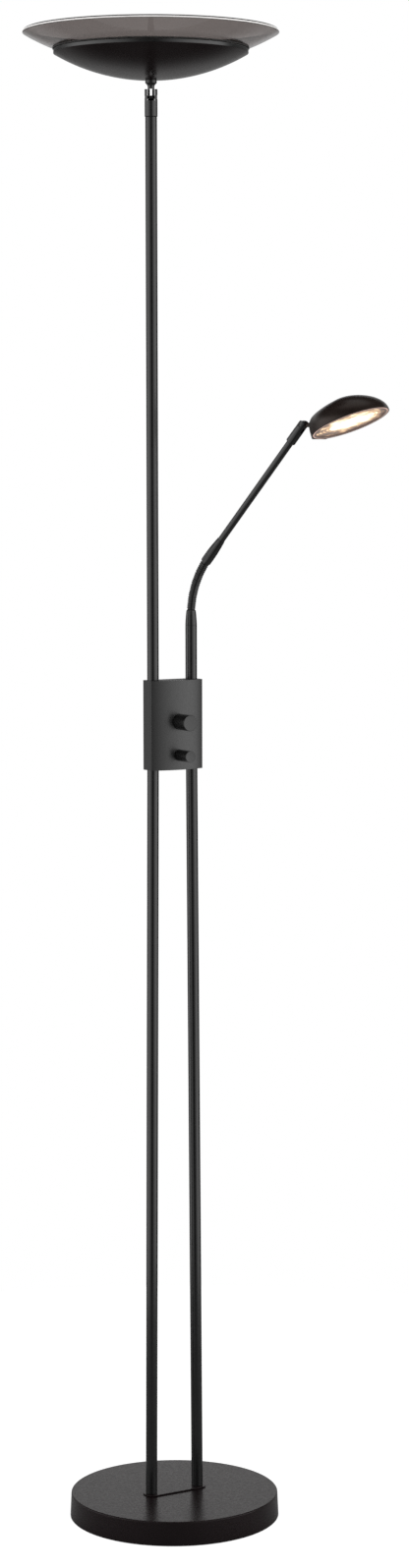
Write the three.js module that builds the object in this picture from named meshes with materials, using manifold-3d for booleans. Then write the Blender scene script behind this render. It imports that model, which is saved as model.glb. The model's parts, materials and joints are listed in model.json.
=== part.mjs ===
// Torchiere floor lamp: a dimmable uplight in a metal dish with a smoked glass rim, and a reading
// lamp on a gooseneck, on two tubes that meet in a control box.
//
// Millimetres, +Z up. The origin is the centre of the underside of the base, the knobs face -Y, and
// +X runs from the main pole, which carries the uplight, to the reading lamp's pole.

import * as THREE from 'three';
import { mergeVertices } from 'three/addons/utils/BufferGeometryUtils.js';
import Module from 'manifold-3d';

const wasm = await Module();
wasm.setup();

// ---------------------------------------------------------------------------------------------
// Driving dimensions
// ---------------------------------------------------------------------------------------------

const gap = 0.3; // air between two pieces that touch

// Base
const baseRadius = 128.75;
const baseHeight = 30;
const baseDraft = 1.25; // the side leans in by this much from bottom to top
const baseEdgeRadius = 1.6;
const coverWall = 1.5;
const coverLift = 0.6; // height of the cover's rim above the floor
const padThickness = 2;
const padMargin = 1.2;
const weightThickness = 20;
const weightMargin = 1.6;
const weightChamfer = 3;
const cordGrooveWidth = 8;
const cordGrooveDepth = 8;

// Cord grommet in the back of the base
const cordHoleRadius = 3.25;
const grommetWall = 1.2;
const grommetFlange = 2;
const grommetFlangeThickness = 1.5;
const grommetHeight = 12.5;
const grommetPlay = 1; // behind the wall, which is curved

// Foot plate and the studs that hold the tubes down
const plateMargin = 9.4; // how far the plate reaches past each tube's axis
const plateWidth = 23;
const plateThickness = 1.2;
const plateBevel = 0.4;
const footSpacing = 65.2; // between the tubes' axes at the base
const stemRadius = 4.7;
const footNutHeight = 5;
const footNutRadius = 9.5;
const wireBore = 3;

// Tubes
const tubeRadius = 7;
const tubeWall = 1;
const poleSpacing = 53.4; // between the tubes' axes from the control box up
const spigotLength = 18;
const couplerFlange = 4;
const mainTubeLength = 718.5; // from the coupler in the box to the uplight's collar
const readingTubeLength = 116.5;

// Control box
const boxBottom = 924;
const boxHeight = 108;
const boxWall = 1;
const boxSideRoom = 0.9;
const boxBackRoom = 2.4;
const boxFrontRoom = 4;
const boxBulge = 7; // how far the front cover bows out
const boxBackRadius = 3;
const frontWall = 2;
const capThickness = 2.5;
const clampHeight = 8;
const clampWall = 1.6;
const clampDepth = 4.5;
const screwRadius = 1.6;
const screwHeadRadius = 3.2;
const screwHeadHeight = 1.8;
const postRadius = 3.5;
const pilotDepth = 10;

// Dimmers and knobs
const uplightKnobHeight = 58; // above the underside of the box
const readingKnobHeight = 17.7;
const uplightKnobRadius = 9.75;
const readingKnobRadius = 7;
const knobLength = 24.4;
const knobGap = 0.8;
const knobChamfer = 0.6;
const knobRecessRoom = 0.9; // round the dimmer's nut
const shaftLength = 21;
const shaftFlat = 1; // depth of the flat on the shaft
const bushRadius = 3.6;
const bushWall = 0.9;
const bushProud = 0.4; // how far the bush stands out of its nut
const dimmerNutRadius = 5.4;
const dimmerNutHeight = 2;
const dimmerDepth = 7.6;
const dimmerFloor = 2;
const uplightDimmerSize = 16;
const readingDimmerSize = 11.6;
const boardThickness = 1.6;
const boardWidth = 34;

// Uplight joint
const uplightHeading = -31; // degrees about Z: where the tilt axis points
const collarRadius = 7.75;
const collarLength = 23; // from the collar's seat on the tube to the tilt axis
const collarChamfer = 0.7;
const earRadius = 9.4;
const forkWidth = 8.2;
const forkGap = 2.75; // left open between the prongs for the wires
const collarBore = 2; // the wires' way through the collar
const pivotRadius = 2;
const pivotHeadRadius = 3;
const pivotSeat = 5.9; // from the axis to the floor of the screw's recess
const neckFlangeRadius = 7;
const neckFlangeThickness = 3.6;
const neckHeight = 16.4; // from the tilt axis to the underside of the flange
const neckRoot = 10.2; // top of the slit
const neckFlare = 12.2; // above this the waist opens out to the flange
const neckBore = 2.2;
const neckCrown = 2; // of the stud above its bore
const neckExit = 1.4; // radius of the hole at its top where the wires come out

// Dish, glass and light source
const dishRadius = 115.6;
const dishCurve = 231; // radius of curvature
const dishWall = 1.2;
const lipHeight = 4.4;
const glassRadius = 152.4;
const glassCurve = 250;
const glassSlope = 30; // degrees at the rim
const glassThickness = 4;
const glassInnerRadius = 100;
const gasketWidth = 2.2;
const gasketThickness = 1;
const carrierRadius = 75;
const carrierThickness = 2;
const carrierHubRadius = 12;
const carrierRise = 1.2;
const uplightBoardInner = 16;
const uplightBoardMargin = 5;
const ledCount = 8;
const ledSize = 5;
const ledHeight = 0.8;
const dishNutHeight = 5;
const dishNutRadius = 9;
const diffuserThickness = 2.5;
const diffuserOverlap = 6;
const diffuserStudRadius = 2.4;
const capNutRadius = 6;
const capNutHeight = 5;
const capNutRoof = 2;

// Gooseneck
const armHeading = -65; // degrees about Z: the direction in which the arm reaches out
const neckTurn = 40.2; // degrees that the gooseneck is bent by
const linkCount = 8;
const linkLength = 7.5;
const linkRadius = 5.4;
const linkGrooveDepth = 0.8;
const ribsPerLink = 3;
const ribCrest = 0.8; // width of the flat on a rib
const linkCore = 1.2; // radius of the flat in the middle of each link's end
const linkGap = 0.4;
const linkRelief = 8; // degrees by which each end falls away, so that the links can bend
const ferruleHeight = 19.5;
const ferruleStep = 0.3; // how much wider than the links the ferrule ends
const ferruleBevel = 1.2;

// Arm
const sleeveLength = 36;
const sleeveStraight = 12.6; // from here on it tapers
const sleeveBevel = 0.8;
const sleeveRadius = 6.35;
const sleeveTipRadius = 5;
const rodRadius = 4.25;
const rodWall = 1;
const rodSeat = 14; // how deep the rod sits in the collar
const rodGrip = 23; // how deep the rod sits in the sleeve
const rodReach = 188.2; // from the gooseneck's end to the collar
const headCollarRadius = 5.9;
const headCollarLength = 25.6; // from the collar's foot to the tilt axis
const headEarRadius = 6;
const headSlotDepth = 7.4;
const headCollarBore = 1.5;
const lugWidth = 5.2;
const lugRadius = 4.4;
const lugRootRadius = 4.8;
const lugBury = 2; // how far the lug's root stands out inside the housing
const lugSlope = 18; // degrees by which the lug drops from the tilt axis to the head
const headPivotRadius = 1.5;
const headPivotHeadRadius = 2.4;
const headPivotSeat = 4.1;

// Reading head
const headTilt = 22.8; // degrees above the horizontal
const headRadius = 48;
const headRise = 30; // of the highest point of the housing over the face
const headPeak = 6; // how far past the middle of the face that point lies
const headBackCurve = 1.9; // exponent of the slope from there back to the joint
const headFrontCurve = 1.7; // exponent of the round nose
const headFullness = 2.25; // exponent of the cross-section: 2 is an ellipse, more is squarer
const headEndWidth = 33; // of the flat end at the joint
const headEndHeight = 25;
const headEndSetback = 0.4; // the flat end stands this far inside the round rim
const headEndRounding = 2.4;
const headWall = 2.6;
const headRimWall = 1.6; // where the mouth widens for the bezel and the diffuser
const headReach = 62.3; // from the tilt axis to the centre of the head
const headDrop = 23.7; // from the tilt axis down to the face
const bezelWidth = 4;
const bezelThickness = 1.2;
const headDiffuserThickness = 1.5;
const headBoardLevel = 8.2;
const headBoardMargin = 2;
const headLedCount = 8;
const headLedSize = 4;
const headPostRadius = 3;
const headPostCircle = 30;

// Facets around each size of round piece
const wideFacets = 34;
const mediumFacets = 22;
const smallFacets = 14;
const screwFacets = 10;
const linkFacets = 11;
const dishSteps = 5;
const glassSteps = 3;
const archSteps = 10;
const headSections = 10;

// ---------------------------------------------------------------------------------------------
// Levels and places worked out from them
// ---------------------------------------------------------------------------------------------

const radians = THREE.MathUtils.degToRad;

const coverRoof = baseHeight - coverWall;
const weightTop = coverRoof - gap;
const weightBottom = weightTop - weightThickness;
const plateBottom = baseHeight + gap;
const plateTop = plateBottom + plateThickness;
const tubeFoot = plateTop + gap;
const boxTop = boxBottom + boxHeight;
const couplerLevel = boxBottom + boxHeight / 2;
const couplerSeat = couplerFlange / 2 + gap;
const lowerTubeTop = couplerLevel - couplerSeat;
const upperTubeBottom = couplerLevel + couplerSeat;
const spigotRadius = tubeRadius - tubeWall - gap;
const mainTubeTop = upperTubeBottom + mainTubeLength;
const readingTubeTop = upperTubeBottom + readingTubeLength;

const footX = footSpacing / 2;
const poleX = poleSpacing / 2;
const lean = Math.atan2(footX - poleX, lowerTubeTop - tubeFoot);
const leaningX = (z) => poleX + (lowerTubeTop - z) * Math.tan(lean);

const boxHalfWidth = poleX + tubeRadius + boxSideRoom + boxWall;
const boxBackY = tubeRadius + boxBackRoom + boxWall;
const boxCornerY = -(tubeRadius + boxFrontRoom);
const boxFrontY = boxCornerY - boxBulge;
const frontCurve = (boxHalfWidth ** 2 + boxBulge ** 2) / (2 * boxBulge);
const frontCentreY = boxFrontY + frontCurve;
const uplightKnobZ = boxBottom + uplightKnobHeight;
const readingKnobZ = boxBottom + readingKnobHeight;
const lowerClampZ = boxBottom + capThickness + gap + clampHeight / 2;
const upperClampZ = boxTop - capThickness - gap - clampHeight / 2;
const upperPostZ = (upperClampZ + uplightKnobZ) / 2 + 1;
const lowerPostZ = (uplightKnobZ + readingKnobZ) / 2;
const coverInside = (x) => frontCentreY - Math.sqrt((frontCurve - frontWall) ** 2 - x ** 2);
const dimmerBackY = coverInside(uplightDimmerSize / 2) + gap + dimmerDepth;
const boardY = dimmerBackY + gap;
const bushBore = bushRadius - bushWall;
const bushEndY = boxFrontY - gap - dimmerNutHeight - bushProud;
const shaftInnerY = dimmerBackY - dimmerFloor - gap;
const shaftEndY = shaftInnerY - dimmerDepth - shaftLength;

const collarSeat = mainTubeTop + gap;
const uplightPivot = new THREE.Vector3(-poleX, 0, collarSeat + collarLength);
const dishBottom = neckHeight + neckFlangeThickness + gap; // from here on, above the tilt axis
const dishRimLevel = dishBottom + dishCurve - Math.sqrt(dishCurve ** 2 - dishRadius ** 2);
const lipTop = dishRimLevel + lipHeight;
const glassSeatRadius = dishRadius - dishWall / 2;
const glassSeatLevel = lipTop + gap + gasketThickness + gap;
const glassCentreR = glassRadius - glassCurve * Math.sin(radians(glassSlope));
const glassCentreZ = glassSeatLevel + Math.sqrt(glassCurve ** 2 - (glassSeatRadius - glassCentreR) ** 2);
const glassLevel = (r, curve) => glassCentreZ - Math.sqrt(curve ** 2 - (r - glassCentreR) ** 2);
const dishInside = (r) => dishBottom + dishCurve - Math.sqrt((dishCurve - dishWall) ** 2 - r ** 2);
const carrierTop = dishInside(carrierRadius) + carrierRise + carrierThickness;
const dishNutBottom = carrierTop + gap;
const dishNutTop = dishNutBottom + dishNutHeight;
const diffuserRadius = glassInnerRadius + diffuserOverlap;
const diffuserBottom = glassLevel(diffuserRadius, glassCurve - glassThickness) + gap;
const diffuserTop = diffuserBottom + diffuserThickness;
const capNutBottom = diffuserTop + gap;

const neckStart = new THREE.Vector3(poleX, 0, readingTubeTop + ferruleHeight + gap);
const bendJoints = linkCount / 2 + 1;
const bendStep = radians(neckTurn) / bendJoints;
const linkGroove = linkRadius - linkGrooveDepth;
const mouthRadius = headRadius - headRimWall;
const linkEnd = linkGap / 2 + (linkGroove - linkCore) * Math.tan(radians(linkRelief)); // at the groove's foot

// ---------------------------------------------------------------------------------------------
// Shape helpers
// ---------------------------------------------------------------------------------------------

function solid(geometry) {
  const plain = geometry.clone();
  plain.deleteAttribute('normal');
  plain.deleteAttribute('uv');
  const merged = mergeVertices(plain, 1e-4);
  const vertProperties = new Float32Array(merged.attributes.position.array);
  const triVerts = new Uint32Array(merged.index.array);
  return new wasm.Manifold(new wasm.Mesh({ numProp: 3, vertProperties, triVerts }));
}

function geometryOf(manifold) {
  const mesh = manifold.getMesh();
  const geometry = new THREE.BufferGeometry();
  geometry.setAttribute('position', new THREE.BufferAttribute(mesh.vertProperties, 3));
  geometry.setIndex(new THREE.BufferAttribute(mesh.triVerts, 1));
  return geometry;
}

function combine(operation, first, others) {
  let result = solid(first);
  for (const other of others) result = result[operation](solid(other));
  return geometryOf(result);
}

const cut = (body, ...tools) => combine('subtract', body, tools);
const join = (body, ...parts) => combine('add', body, parts);
const common = (body, ...parts) => combine('intersect', body, parts);

// Turns a profile of [radius, height] points about Z. The profile starts and ends on the axis, or
// is a closed ring when it doesn't touch the axis.
function revolve(profile, facets) {
  const ring = profile[0][0] > 0;
  const points = ring ? [...profile, profile[0]] : [...profile];
  let area = 0;
  points.forEach(([r, z], i) => {
    const [nextR, nextZ] = points[(i + 1) % points.length];
    area += r * nextZ - nextR * z;
  });
  if (area < 0) points.reverse();
  const vectors = points.map(([r, z]) => new THREE.Vector2(r, z));
  return new THREE.LatheGeometry(vectors, facets).rotateX(Math.PI / 2);
}

// A straight round bar from z = low to z = high
function bar(radius, low, high, facets = smallFacets) {
  return revolve([[0, low], [radius, low], [radius, high], [0, high]], facets);
}

function pipe(radius, bore, low, high, facets = smallFacets) {
  return revolve([[bore, low], [radius, low], [radius, high], [bore, high]], facets);
}

function hexBar(radius, low, high) {
  return bar(radius, low, high, 6);
}

// Turns a piece made along Z so that it points along +Y, at the given place
function alongY(geometry, x = 0, z = 0) {
  return geometry.rotateX(-Math.PI / 2).translate(x, 0, z);
}

function block(lowX, highX, lowY, highY, lowZ, highZ) {
  const box = new THREE.BoxGeometry(highX - lowX, highY - lowY, highZ - lowZ);
  return box.translate((lowX + highX) / 2, (lowY + highY) / 2, (lowZ + highZ) / 2);
}

function extrude(shape, depth, options = {}) {
  return new THREE.ExtrudeGeometry(shape, { depth, bevelEnabled: false, curveSegments: 8, ...options });
}

// Points along a circular arc of a profile, ends included
function arcPoints(centreR, centreZ, radius, from, to, steps) {
  return Array.from({ length: steps + 1 }, (_, i) => {
    const angle = from + ((to - from) * i) / steps;
    return [centreR + radius * Math.cos(angle), centreZ + radius * Math.sin(angle)];
  });
}

// ---------------------------------------------------------------------------------------------
// Materials
// ---------------------------------------------------------------------------------------------

function material(color, roughness, metalness) {
  return new THREE.MeshStandardMaterial({ color, roughness, metalness });
}

const satinBlack = () => material(0x17171a, 0.38, 0.3);
const blackPlastic = () => material(0x1b1b1d, 0.5, 0);
const castIron = () => material(0x4a4b4d, 0.7, 0.8);
const steel = () => material(0xa8aaad, 0.35, 1);
const aluminium = () => material(0xc4c6c9, 0.4, 1);
const rubber = () => material(0x1d1d1d, 0.85, 0);
const circuitBoard = () => material(0xe8e8e2, 0.6, 0);
const opal = () => material(0xf6f1e6, 0.45, 0);

function smokedGlass() {
  const glass = material(0x6f6662, 0.05, 0);
  glass.transparent = true;
  glass.opacity = 0.55;
  return glass;
}

function litOpal() {
  const lit = opal();
  lit.emissive = new THREE.Color(0xffd9a0);
  return lit;
}

// ---------------------------------------------------------------------------------------------
// Base
// ---------------------------------------------------------------------------------------------

const sideSlope = baseDraft / (baseHeight - coverLift);
const coverRadiusAt = (z) => baseRadius - (z - coverLift) * sideSlope;

function basePad() {
  return bar(baseRadius - coverWall - padMargin, 0, padThickness, wideFacets);
}

function baseWeight() {
  const radius = coverRadiusAt(baseHeight) - coverWall - weightMargin;
  const disc = revolve(
    [
      [0, weightBottom],
      [radius, weightBottom],
      [radius, weightTop - weightChamfer],
      [radius - weightChamfer, weightTop],
      [0, weightTop],
    ],
    mediumFacets,
  );
  const stemHole = () => bar(stemRadius + 2 * gap, weightBottom - 1, weightTop + 1);
  const grooveLength = Math.hypot(footX, baseRadius);
  const half = cordGrooveWidth / 2;
  const groove = block(0, grooveLength, -half, half, weightBottom - 1, weightBottom + cordGrooveDepth);
  groove.rotateZ(Math.atan2(baseRadius, footX)).translate(-footX, 0, 0);
  const flangeRoom = cordHoleRadius + grommetWall + grommetFlange + 1;
  const pocketFloor = radius - grommetFlangeThickness - grommetPlay - 1;
  const pocket = alongY(bar(flangeRoom, pocketFloor, baseRadius), 0, grommetHeight);
  return cut(disc, stemHole().translate(footX, 0, 0), stemHole().translate(-footX, 0, 0), groove, pocket);
}

function baseCover() {
  const topRadius = coverRadiusAt(baseHeight);
  const edgeCentre = topRadius - baseEdgeRadius;
  const inner = baseRadius - coverWall;
  const shell = revolve(
    [
      [0, coverRoof],
      [topRadius - coverWall - 1, coverRoof],
      [topRadius - coverWall, coverRoof - 1],
      [inner, coverLift],
      [baseRadius, coverLift],
      ...arcPoints(edgeCentre, baseHeight - baseEdgeRadius, baseEdgeRadius, 0, Math.PI / 2, 3),
      [0, baseHeight],
    ],
    wideFacets,
  );
  const stemHole = () => bar(stemRadius + 2 * gap, coverRoof - 1, baseHeight + 1);
  const cordHole = bar(cordHoleRadius + grommetWall + gap, inner - 5 * coverWall, baseRadius + 1);
  const stemHoles = [stemHole().translate(footX, 0, 0), stemHole().translate(-footX, 0, 0)];
  return cut(shell, ...stemHoles, alongY(cordHole, 0, grommetHeight));
}

// A rubber bush whose groove holds the edge of the hole in the cover's wall
function cordGrommet() {
  const waist = cordHoleRadius + grommetWall;
  const flange = waist + grommetFlange;
  const outside = coverRadiusAt(grommetHeight) + gap;
  const inside = coverRadiusAt(grommetHeight) - coverWall - grommetPlay;
  const bush = revolve(
    [
      [cordHoleRadius, inside - grommetFlangeThickness],
      [flange, inside - grommetFlangeThickness],
      [flange, inside],
      [waist, inside],
      [waist, outside],
      [flange, outside],
      [flange - 0.6, outside + grommetFlangeThickness],
      [cordHoleRadius, outside + grommetFlangeThickness],
    ],
    smallFacets,
  );
  return alongY(bush, 0, grommetHeight);
}

function footPlate() {
  const bevel = plateBevel;
  const round = plateMargin - bevel;
  const side = plateWidth / 2 - bevel;
  const shape = new THREE.Shape();
  shape.moveTo(-footX, -side);
  shape.lineTo(footX, -side);
  shape.quadraticCurveTo(footX + round, -side, footX + round, 0);
  shape.quadraticCurveTo(footX + round, side, footX, side);
  shape.lineTo(-footX, side);
  shape.quadraticCurveTo(-footX - round, side, -footX - round, 0);
  shape.quadraticCurveTo(-footX - round, -side, -footX, -side);
  const plate = extrude(shape, plateThickness - 2 * bevel, {
    bevelEnabled: true, bevelThickness: bevel, bevelSize: bevel, bevelSegments: 1, curveSegments: 5,
  });
  plate.translate(0, 0, plateBottom + bevel);
  const hole = () => bar(stemRadius + 2 * gap, plateBottom - 1, plateTop + 1);
  return cut(plate, hole().translate(footX, 0, 0), hole().translate(-footX, 0, 0));
}

// Measured from the tube's foot: a spigot up into the tube, and a threaded stem down to the nut
function footStud() {
  const stemEnd = weightBottom - gap - footNutHeight - gap - tubeFoot;
  return revolve(
    [
      [wireBore, stemEnd],
      [stemRadius, stemEnd],
      [stemRadius, -gap],
      [spigotRadius, gap],
      [spigotRadius, spigotLength],
      [wireBore, spigotLength],
    ],
    smallFacets,
  );
}

function footNut() {
  const top = weightBottom - gap;
  const low = top - footNutHeight;
  return cut(hexBar(footNutRadius, low, top), bar(stemRadius + gap, low - 1, top + 1));
}

// ---------------------------------------------------------------------------------------------
// Tubes
// ---------------------------------------------------------------------------------------------

const tube = (length) => pipe(tubeRadius, tubeRadius - tubeWall, 0, length);
const lowerTubeLength = (lowerTubeTop - tubeFoot) / Math.cos(lean);

// Joins a lower tube to an upper one inside the box
function coupler() {
  const half = couplerFlange / 2;
  return revolve(
    [
      [wireBore, -half - spigotLength],
      [spigotRadius, -half - spigotLength],
      [spigotRadius, -half],
      [tubeRadius, -half],
      [tubeRadius, half],
      [spigotRadius, half],
      [spigotRadius, half + spigotLength],
      [wireBore, half + spigotLength],
    ],
    smallFacets,
  );
}

// The tapered end of the reading tube; its top is shaped like the end of a gooseneck link
function ferrule() {
  const end = linkRadius + ferruleStep;
  const taper = (share) => end + (tubeRadius - end) * (1 - share ** 1.4);
  const slope = ferruleHeight - linkEnd - ferruleBevel;
  return revolve(
    [
      [0, -spigotLength],
      [spigotRadius, -spigotLength],
      [spigotRadius, 0],
      ...[0, 0.35, 0.7, 1].map((share) => [taper(share), slope * share]),
      [linkGroove, ferruleHeight - linkEnd],
      [linkCore, ferruleHeight - linkGap / 2],
      [0, ferruleHeight - linkGap / 2],
    ],
    smallFacets,
  );
}

// ---------------------------------------------------------------------------------------------
// Control box
// ---------------------------------------------------------------------------------------------

// Adds the bowed front edge of the box to a shape, from its left end to its right end
function bowTo(shape, halfWidth, radius) {
  const angle = Math.asin(halfWidth / radius);
  shape.absarc(0, frontCentreY, radius, -Math.PI / 2 - angle, -Math.PI / 2 + angle, false);
}

function backChannel() {
  const outer = boxHalfWidth;
  const inner = outer - boxWall;
  const front = coverInside(boxHalfWidth) + gap;
  const back = boxBackY;
  const round = boxBackRadius;
  const insideRound = round - boxWall;
  const shape = new THREE.Shape();
  shape.moveTo(-outer, front);
  shape.lineTo(-inner, front);
  shape.lineTo(-inner, back - round);
  shape.absarc(-outer + round, back - round, insideRound, Math.PI, Math.PI / 2, true);
  shape.lineTo(inner - insideRound, back - boxWall);
  shape.absarc(outer - round, back - round, insideRound, Math.PI / 2, 0, true);
  shape.lineTo(inner, front);
  shape.lineTo(outer, front);
  shape.lineTo(outer, back - round);
  shape.absarc(outer - round, back - round, round, 0, Math.PI / 2, false);
  shape.lineTo(-outer + round, back);
  shape.absarc(-outer + round, back - round, round, Math.PI / 2, Math.PI, false);
  const channel = extrude(shape, boxHeight, { curveSegments: 4 }).translate(0, 0, boxBottom);
  const holes = [lowerClampZ, lowerPostZ, upperPostZ, upperClampZ].map((z) =>
    alongY(bar(screwRadius + gap, back - 2 * boxWall, back + 1, screwFacets), 0, z));
  return cut(channel, ...holes);
}

function dimmerHole(z) {
  return alongY(bar(bushRadius + gap, boxFrontY - 1, boxFrontY + frontWall + 1), 0, z);
}

// The bowed cover, with two posts on its inside that the screws from the back go into
function frontCover() {
  const shape = new THREE.Shape();
  const inner = frontCurve - frontWall;
  bowTo(shape, boxHalfWidth, frontCurve);
  const innerAngle = Math.asin(boxHalfWidth / inner);
  shape.absarc(0, frontCentreY, inner, -Math.PI / 2 + innerAngle, -Math.PI / 2 - innerAngle, true);
  const skin = extrude(shape, boxHeight, { curveSegments: 10 }).translate(0, 0, boxBottom);
  const postEnd = boxBackY - boxWall - gap;
  const postStart = boxFrontY + frontWall / 2;
  const posts = [lowerPostZ, upperPostZ].map((z) =>
    alongY(bar(postRadius, postStart, postEnd, screwFacets), 0, z));
  const pilots = [lowerPostZ, upperPostZ].map((z) =>
    alongY(bar(screwRadius + gap, postEnd - pilotDepth, postEnd + 1, screwFacets), 0, z));
  return cut(join(skin, ...posts), dimmerHole(uplightKnobZ), dimmerHole(readingKnobZ), ...pilots);
}

// A plate that closes one end of the box, with a hole for each tube
function endCap(low, tubeX) {
  const halfWidth = boxHalfWidth - boxWall - gap;
  const radius = frontCurve - frontWall - gap;
  const shape = new THREE.Shape();
  bowTo(shape, halfWidth, radius);
  shape.lineTo(halfWidth, boxBackY - boxWall - gap - boxBackRadius);
  shape.lineTo(halfWidth - boxBackRadius, boxBackY - boxWall - gap);
  shape.lineTo(-halfWidth + boxBackRadius, boxBackY - boxWall - gap);
  shape.lineTo(-halfWidth, boxBackY - boxWall - gap - boxBackRadius);
  const plate = extrude(shape, capThickness).translate(0, 0, low);
  const hole = (x) => bar(tubeRadius + gap, low - 1, low + capThickness + 1).translate(x, 0, 0);
  return cut(plate, hole(tubeX), hole(-tubeX));
}

// A bar with a saddle for each tube, pulled against them by a screw through the back of the box
function clampBar(z, tubeX) {
  const halfWidth = boxHalfWidth - boxWall - 2 * gap;
  const low = z - clampHeight / 2;
  const high = z + clampHeight / 2;
  const body = block(-halfWidth, halfWidth, -tubeRadius - clampWall, -tubeRadius + clampDepth, low, high);
  const saddle = (x) => bar(tubeRadius + gap, low - 1, high + 1).translate(x, 0, 0);
  const thread = alongY(bar(screwRadius + gap, -tubeRadius + 0.5, clampDepth, screwFacets), 0, z);
  return cut(body, saddle(tubeX), saddle(-tubeX), thread);
}

// A screw from the back of the box, along -Y; tipY is where its point ends
function backScrew(tipY) {
  const under = boxBackY + gap;
  return alongY(
    revolve(
      [
        [0, tipY],
        [screwRadius, tipY],
        [screwRadius, under],
        [screwHeadRadius, under],
        [screwHeadRadius, under + screwHeadHeight * 0.5],
        [screwHeadRadius * 0.7, under + screwHeadHeight],
        [0, under + screwHeadHeight],
      ],
      screwFacets,
    ),
  );
}

function dimmerBoard() {
  const half = boardWidth / 2;
  const low = readingKnobZ - readingDimmerSize / 2;
  const high = uplightKnobZ + uplightDimmerSize / 2 + 2;
  const board = block(-half, half, boardY, boardY + boardThickness, low, high);
  const postHole = alongY(bar(postRadius + 2 * gap, boardY - 1, boardY + boardThickness + 1), 0, lowerPostZ);
  return cut(board, postHole);
}

// A rotary dimmer: its case stands on the board, and its threaded bush and nut hold the front cover
function dimmer(z, size) {
  const half = size / 2;
  const front = dimmerBackY - dimmerDepth;
  const body = block(-half, half, front, dimmerBackY, z - half, z + half);
  const bush = alongY(bar(bushRadius, bushEndY, front + 1), 0, z);
  const nut = alongY(hexBar(dimmerNutRadius, boxFrontY - gap - dimmerNutHeight, boxFrontY - gap), 0, z);
  const shaftHole = alongY(bar(bushBore, bushEndY - 1, shaftInnerY + gap), 0, z);
  return cut(join(body, bush, nut), shaftHole);
}

// The shaft and the knob's bore are round with a flat on top, which starts clear of the bush
function withFlat(radius, low, high, depth) {
  const round = alongY(bar(radius, low, high));
  const flat = block(-radius, radius, low - 1, bushEndY - knobGap, radius - depth, radius + 1);
  return cut(round, flat);
}

const dimmerShaft = () => withFlat(bushBore - gap, shaftEndY, shaftInnerY, shaftFlat);

// A plain turned knob with a recess for the dimmer's nut and a bore that fits the shaft
function knob(radius) {
  const back = boxFrontY - knobGap;
  const front = back - knobLength;
  const recess = dimmerNutRadius + knobRecessRoom;
  const recessFloor = bushEndY - knobRecessRoom;
  const turned = revolve(
    [
      [0, front],
      [radius - knobChamfer, front],
      [radius, front + knobChamfer],
      [radius, back - knobChamfer / 2],
      [radius - knobChamfer / 2, back],
      [recess, back],
      [recess, recessFloor],
      [0, recessFloor],
    ],
    mediumFacets,
  );
  return cut(alongY(turned), withFlat(bushBore, shaftEndY - gap, back + 1, shaftFlat));
}

// ---------------------------------------------------------------------------------------------
// Clevis joints
// ---------------------------------------------------------------------------------------------

// A collar about Z whose top is two ears beside a slot. The tilt axis is X, at height 0, and the
// ears are round about it. The screw's head sits in a recess on the +X side, and the bore lets the
// wires through from the spigot into the slot.
function clevis({ radius, length, spigot, ears, slot, slotDepth, bore, pin, pinHead, seat }) {
  const body = revolve(
    [
      ...spigot.map(([r, z]) => [r, z - length]),
      [radius - collarChamfer, -length],
      [radius, collarChamfer - length],
      [radius, ears],
      [0, ears],
    ],
    smallFacets,
  );
  const envelope = join(
    block(-radius, radius, -radius, radius, -length - spigotLength, 0),
    bar(ears, -radius, radius, mediumFacets).rotateY(Math.PI / 2),
  );
  const slotBlock = block(-slot / 2, slot / 2, -radius - 1, radius + 1, -slotDepth, ears + 1);
  const pinHole = bar(pin + gap, -radius - 1, radius + 1, screwFacets).rotateY(Math.PI / 2);
  const recess = bar(pinHead + gap, seat, radius + 1, screwFacets).rotateY(Math.PI / 2);
  const wireBore = bar(bore, -length - spigotLength - 1, 0, screwFacets);
  return cut(common(body, envelope), slotBlock, pinHole, recess, wireBore);
}

function pivotScrew({ radius, pin, pinHead, seat }) {
  const tip = 1 - radius;
  const top = radius - 0.5;
  return revolve(
    [[0, tip], [pin, tip], [pin, seat + gap], [pinHead, seat + gap], [pinHead, top], [0, top]],
    screwFacets,
  ).rotateY(Math.PI / 2);
}

const uplightClevis = {
  radius: collarRadius,
  length: collarLength,
  spigot: [[0, -spigotLength], [spigotRadius, -spigotLength], [spigotRadius, 0]],
  ears: earRadius,
  slot: forkWidth + 2 * gap,
  slotDepth: forkWidth / 2 + gap,
  bore: collarBore,
  pin: pivotRadius,
  pinHead: pivotHeadRadius,
  seat: pivotSeat,
};

const rodBore = rodRadius + gap;

const headClevis = {
  radius: headCollarRadius,
  length: headCollarLength,
  spigot: [[0, rodSeat], [rodBore, rodSeat], [rodBore, 0]],
  ears: headEarRadius,
  slot: lugWidth + 2 * gap,
  slotDepth: headSlotDepth,
  bore: headCollarBore,
  pin: headPivotRadius,
  pinHead: headPivotHeadRadius,
  seat: headPivotSeat,
};

// ---------------------------------------------------------------------------------------------
// Uplight, measured from its tilt axis
// ---------------------------------------------------------------------------------------------

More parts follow.
